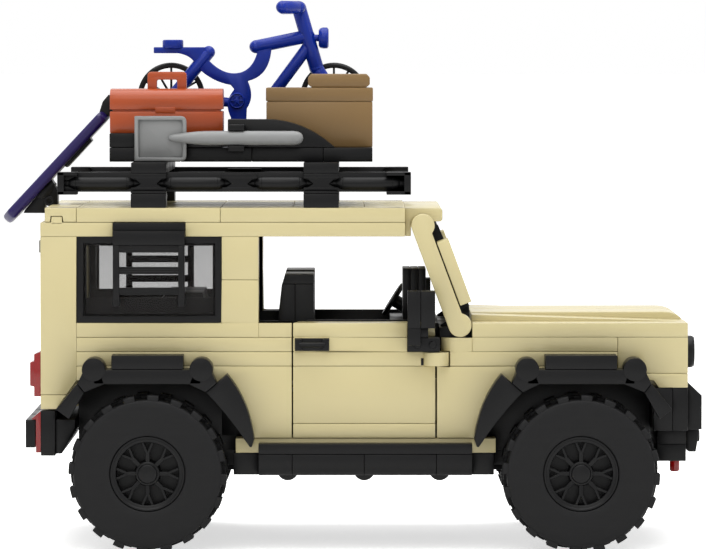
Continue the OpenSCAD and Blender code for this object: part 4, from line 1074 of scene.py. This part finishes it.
def at(u, w, y=0.0):
    return (AX + u, BIKE_Y + y, AZ + w)


def tube(points, radius):
    """A moulded tube with rounded ends through points, as one swept curve."""
    line = bpy.data.curves.new("tube", "CURVE")
    line.dimensions = "3D"
    line.bevel_depth = radius * MM
    line.bevel_resolution = 5
    line.use_fill_caps = True
    path = line.splines.new("POLY")
    path.points.add(len(points) - 1)
    for spot, place in zip(path.points, points):
        spot.co = (*(Vector(place) * MM), 1)
    piece = bpy.data.objects.new("tube", line)
    bpy.context.scene.collection.objects.link(piece)
    select_only(piece)
    bpy.ops.object.convert(target="MESH")
    piece = bpy.context.object
    edit(piece)
    bpy.ops.mesh.remove_doubles(threshold=1e-7)
    close_up()
    return piece


def knob(place, radius):
    bpy.ops.mesh.primitive_uv_sphere_add(segments=24, ring_count=12, radius=radius * MM,
        location=Vector(place) * MM)
    return settle(bpy.context.object)


def round_tube(a, b, radius):
    return [tube([a, b], radius), knob(a, radius), knob(b, radius)]


bike = []
bike += round_tube(at(8.7, 10.1), at(0.6, 0.2), 1.5)
bike += round_tube(at(29.5, 20.2), at(33.5, 6.5), 1.7) + round_tube(at(33.5, 6.5), at(BASE, 0), 1.6)
bike += round_tube(at(19.6, 11.4), at(31.6, 13.85), 1.55)
bike += round_tube(at(32.0, 12.0), at(23.5, 0.5), 1.4)
bike += round_tube(at(15.2, -1.6), at(0.8, 0), 1.1)
beam = [(-3.9, 9.9), (1.7, 9.9)]
beam += bend((1.7, 9.9), (4.9, 9.4), (5.8, 7.1), 8)[1:] + bend((5.8, 7.1), (9, 3.4), (13.8, 2.6), 9)[1:]
beam += bend((14.6, 1.6), (12, -1.2), (13.8, -4.9), 9) + [(13.8, LOAD - AZ), (17.4, LOAD - AZ), (17.4, -4.9)]
beam += bend((17.5, -2.8), (19.4, 0), (17.7, 3.5), 9) + bend((17.7, 3.5), (22.9, 4.6), (23.2, 11.5), 10)[1:]
beam += [(19.9, 11.5)] + bend((19.8, 9.8), (18.4, 5.3), (14.5, 5.3), 12)
beam += bend((14.5, 5.3), (11.6, 5.3), (8.8, 8.2), 9)[1:] + [(8.8, 11.3), (-3.9, 11.3)]
bike += [
    outline([(AX + a, AZ + b) for a, b in beam], about(BIKE_Y, 1.1)),
    stud(AX + 0.5, BIKE_Y, AZ + 11.3)]
crank = at(15.2, -1.0)
bike += [
    turned([(0, -1.5), (1.7, -1.5), (1.9, -1.1), (1.9, 1.4), (0, 1.4)], crank, "Y", 32),
    turned([(1.45, -1.75), (1.75, -1.75), (1.75, -1.4), (1.45, -1.4)], crank, "Y", 28)]
crank_arm = rod(at(15.5, -1.0, -1.65), at(16.7, -1.0, -1.65), 0.16, sides=8)
bike += [
    around(crank_arm, 6, crank),
    rod(at(15.2, -1.0, -1.3), at(15.2, -1.0, -1.8), 0.7, sides=16)]
for end in (0, BASE):
    bike.append(rod(at(end, 0, 0), at(end, 0, 3.95), 0.78, sides=20))
bike += round_tube(at(29.6, 20.4, -3.9), at(29.6, 20.4, 3.9), 1.4)
for way in (-1, 1):
    bike += round_tube(at(29.3, 20.4, way * 3.8), at(25.8, 20.4, way * 8.6), 1.5)
bike += [
    rod(at(31.8, 13.4), at(34.2, 13.4), 0.8, sides=16),
    turned([(0, 0), (1.9, 0), (2.3, 0.4), (2.45, 1.0), (2.45, 2.0), (1.9, 2.35), (1.5, 2.1), (0, 2.1)],
        at(34.0, 13.4), "X", 32)]
done("bicycle_frame_tubes", "body", "blue_plastic", bike, edge=0.16, replaces="bike_frame", steps=2, sharp=40)
for node, body, x in (("bike_wheel_rear", "bicycle_rear_wheel", AX),
        ("bike_wheel_front", "bicycle_front_wheel", AX + BASE)):
    centre = (x, WHEEL_Y, AZ)
    hoop = [turned([(BIKE_R - 1.3, -0.75), (BIKE_R - 0.5, -0.85), (BIKE_R - 0.05, -0.45),
        (BIKE_R - 0.05, 0.45), (BIKE_R - 0.5, 0.85), (BIKE_R - 1.3, 0.75), (BIKE_R - 1.15, 0)], centre, "Y",
        64), turned([(0.86, -0.9), (1.5, -0.9), (1.7, -0.6), (1.7, 0.6), (1.5, 0.9), (0.86, 0.9)], centre,
        "Y", 28)]
    spoke = rod((x + 1.2, WHEEL_Y, AZ), (x + BIKE_R - 1.1, WHEEL_Y, AZ), 0.3, 0.26, 10)
    hoop.append(around(spoke, 12, (x, 0, AZ)))
    done(node.replace("bike_wheel", "spoked_bicycle_wheel"), body, "black_plastic", hoop, edge=0.05,
        replaces=node, steps=1)

# ------------------------------------------------------------------ board, its hooks, and the underside
board_low = corners("board")[0]
lean = math.radians(47)
foot = Vector((board_low.x + 1.3, 0, ROOF - 3.4))
along, up = Vector((math.cos(lean), 0, math.sin(lean))), Vector((-math.sin(lean), 0, math.cos(lean)))
LONG = 33.4


def plank(outer, thick):
    """A plank outline of (along, across) points, laid on the board's slope between two depths."""
    piece = outline(outer, thick, "Z")
    for vertex in piece.data.vertices:
        a, b, c = vertex.co / MM
        vertex.co = (foot + along * a + Vector((0, b, 0)) + up * c) * MM
    return piece


def long_oval(length, half, start):
    return (bend((start, half * 0.5), (start - 1.1, 0), (start, -half * 0.5), 6) + bend((start + 1.5, -half),
        (start + length / 2, -half), (start + length - 1.5, -half), 2) + bend((start + length, -half * 0.5),
        (start + length + 1.1, 0), (start + length, half * 0.5), 6) + bend((start + length - 1.5, half),
        (start + length / 2, half), (start + 1.5, half), 2))


def on_slope(points):
    """(along, up) points of the leaning board as (x, z) points."""
    return [(foot.x + along.x * a + up.x * b, foot.z + along.z * a + up.z * b) for a, b in points]


board = [plank(long_oval(LONG, 6, 0), (-1.25, 1.25))]
done("recovery_board", "body", "purple_plastic", board, edge=0.85, replaces="board", steps=5, sharp=60)
done("board_end_cap", "body", "black_plastic", [outline(on_slope([(LONG - 1.2, 1.2), (LONG + 1.1, 2.3),
    (LONG + 3.2, 2.4), (LONG + 3.2, -0.6), (LONG - 0.2, -1.2)]), (-4, 4)),
    outline(on_slope([(17.8, -1.2), (26.5, -1.2), (26.3, -2.0), (18.0, -2.0)]), (-4, 4))], edge=0.12)
hooks = [cad_copy("board_bracket")]
hook_x, hook_z = REAR + 0.4, ROOF + 0.7
for y in (-2.6, 2.6):
    near, far = sorted(about(y, 0.8))
    hooks += [
        turned([(0.6, near), (1.15, near), (1.15, far), (0.6, far)], (hook_x, 0, hook_z), "Y", 24),
        outline([(hook_x - a, hook_z + b) for a, b in ((3.0, 0.8), (2.1, 2.4), (-0.7, 4.5), (-1.3, 3.8),
            (-0.4, 1.7), (1.7, 0.6))], (near, far))]
done("board_hooks", "body", "black_plastic", hooks, edge=0.12, replaces="board_bracket")

chassis_low, chassis_high = corners("chassis")
under = [block((chassis_low.x, sx(COWL) - SEAM), seamed(a, b), (chassis_high.z - PLATE, chassis_high.z))
         for a, b in ((chassis_low.y, -STUD), (-STUD, STUD), (STUD, chassis_high.y))]
under += [block((sx(COWL) + SEAM, chassis_high.x), seamed(a, b), (chassis_high.z - PLATE, chassis_high.z))
          for a, b in ((chassis_low.y, -STUD), (-STUD, STUD), (STUD, chassis_high.y))]
axle_low, axle_high = corners("axles")
AXLE_Z = (axle_low.z + axle_high.z) / 2
axle_xs = (axle_low.x + STUD_R, axle_high.x - STUD_R)
slab = chassis_high.z - PLATE
for s in (-1, 1):
    under.append(block((axle_xs[0] + 6, axle_xs[1] - 6), (s * 11 - 3, s * 11 + 3),
        (AXLE_Z - 1.0, slab - SEAM)))
for x in axle_xs:
    under.append(keep(cad_copy("chassis"), about(x, 6), None, (None, slab)))
for nx in range(10):
    for ny in (-2, -1, 0, 1, 2):
        x, y = sx(2.5 + nx * 1.5), ny * STUD
        if abs(x - axle_xs[0]) > 9 and abs(x - axle_xs[1]) > 9 and abs(abs(y) - 11) > 5.2:
            under.append(turned([(STUD_R, -1.6), (3.25, -1.6), (3.25, 0.1), (STUD_R, 0.1)], (x, y, slab), "Z",
                20))
done("chassis_beams", "body", "black_plastic", under, edge=0.12, replaces="chassis")
done("wheel_box_bricks", "body", "black_plastic", [cad_copy("wheel_boxes")], edge=0.15,
    replaces="wheel_boxes")
cross = []
for x in axle_xs:
    length = (axle_low.y, axle_high.y)
    for turn in (0, 1):
        wide, tall = (STUD_R - 0.05, 0.9) if turn else (0.9, STUD_R - 0.05)
        cross.append(block(about(x, wide), length, about(AXLE_Z, tall)))
    cross.append(turned([(0, length[0] + 6), (2.35, length[0] + 6), (2.35, length[1] - 6),
        (0, length[1] - 6)], (x, 0, AXLE_Z), "Y", 24))
done("cross_axles", "body", "black_plastic", cross, edge=0.2, replaces="axles")
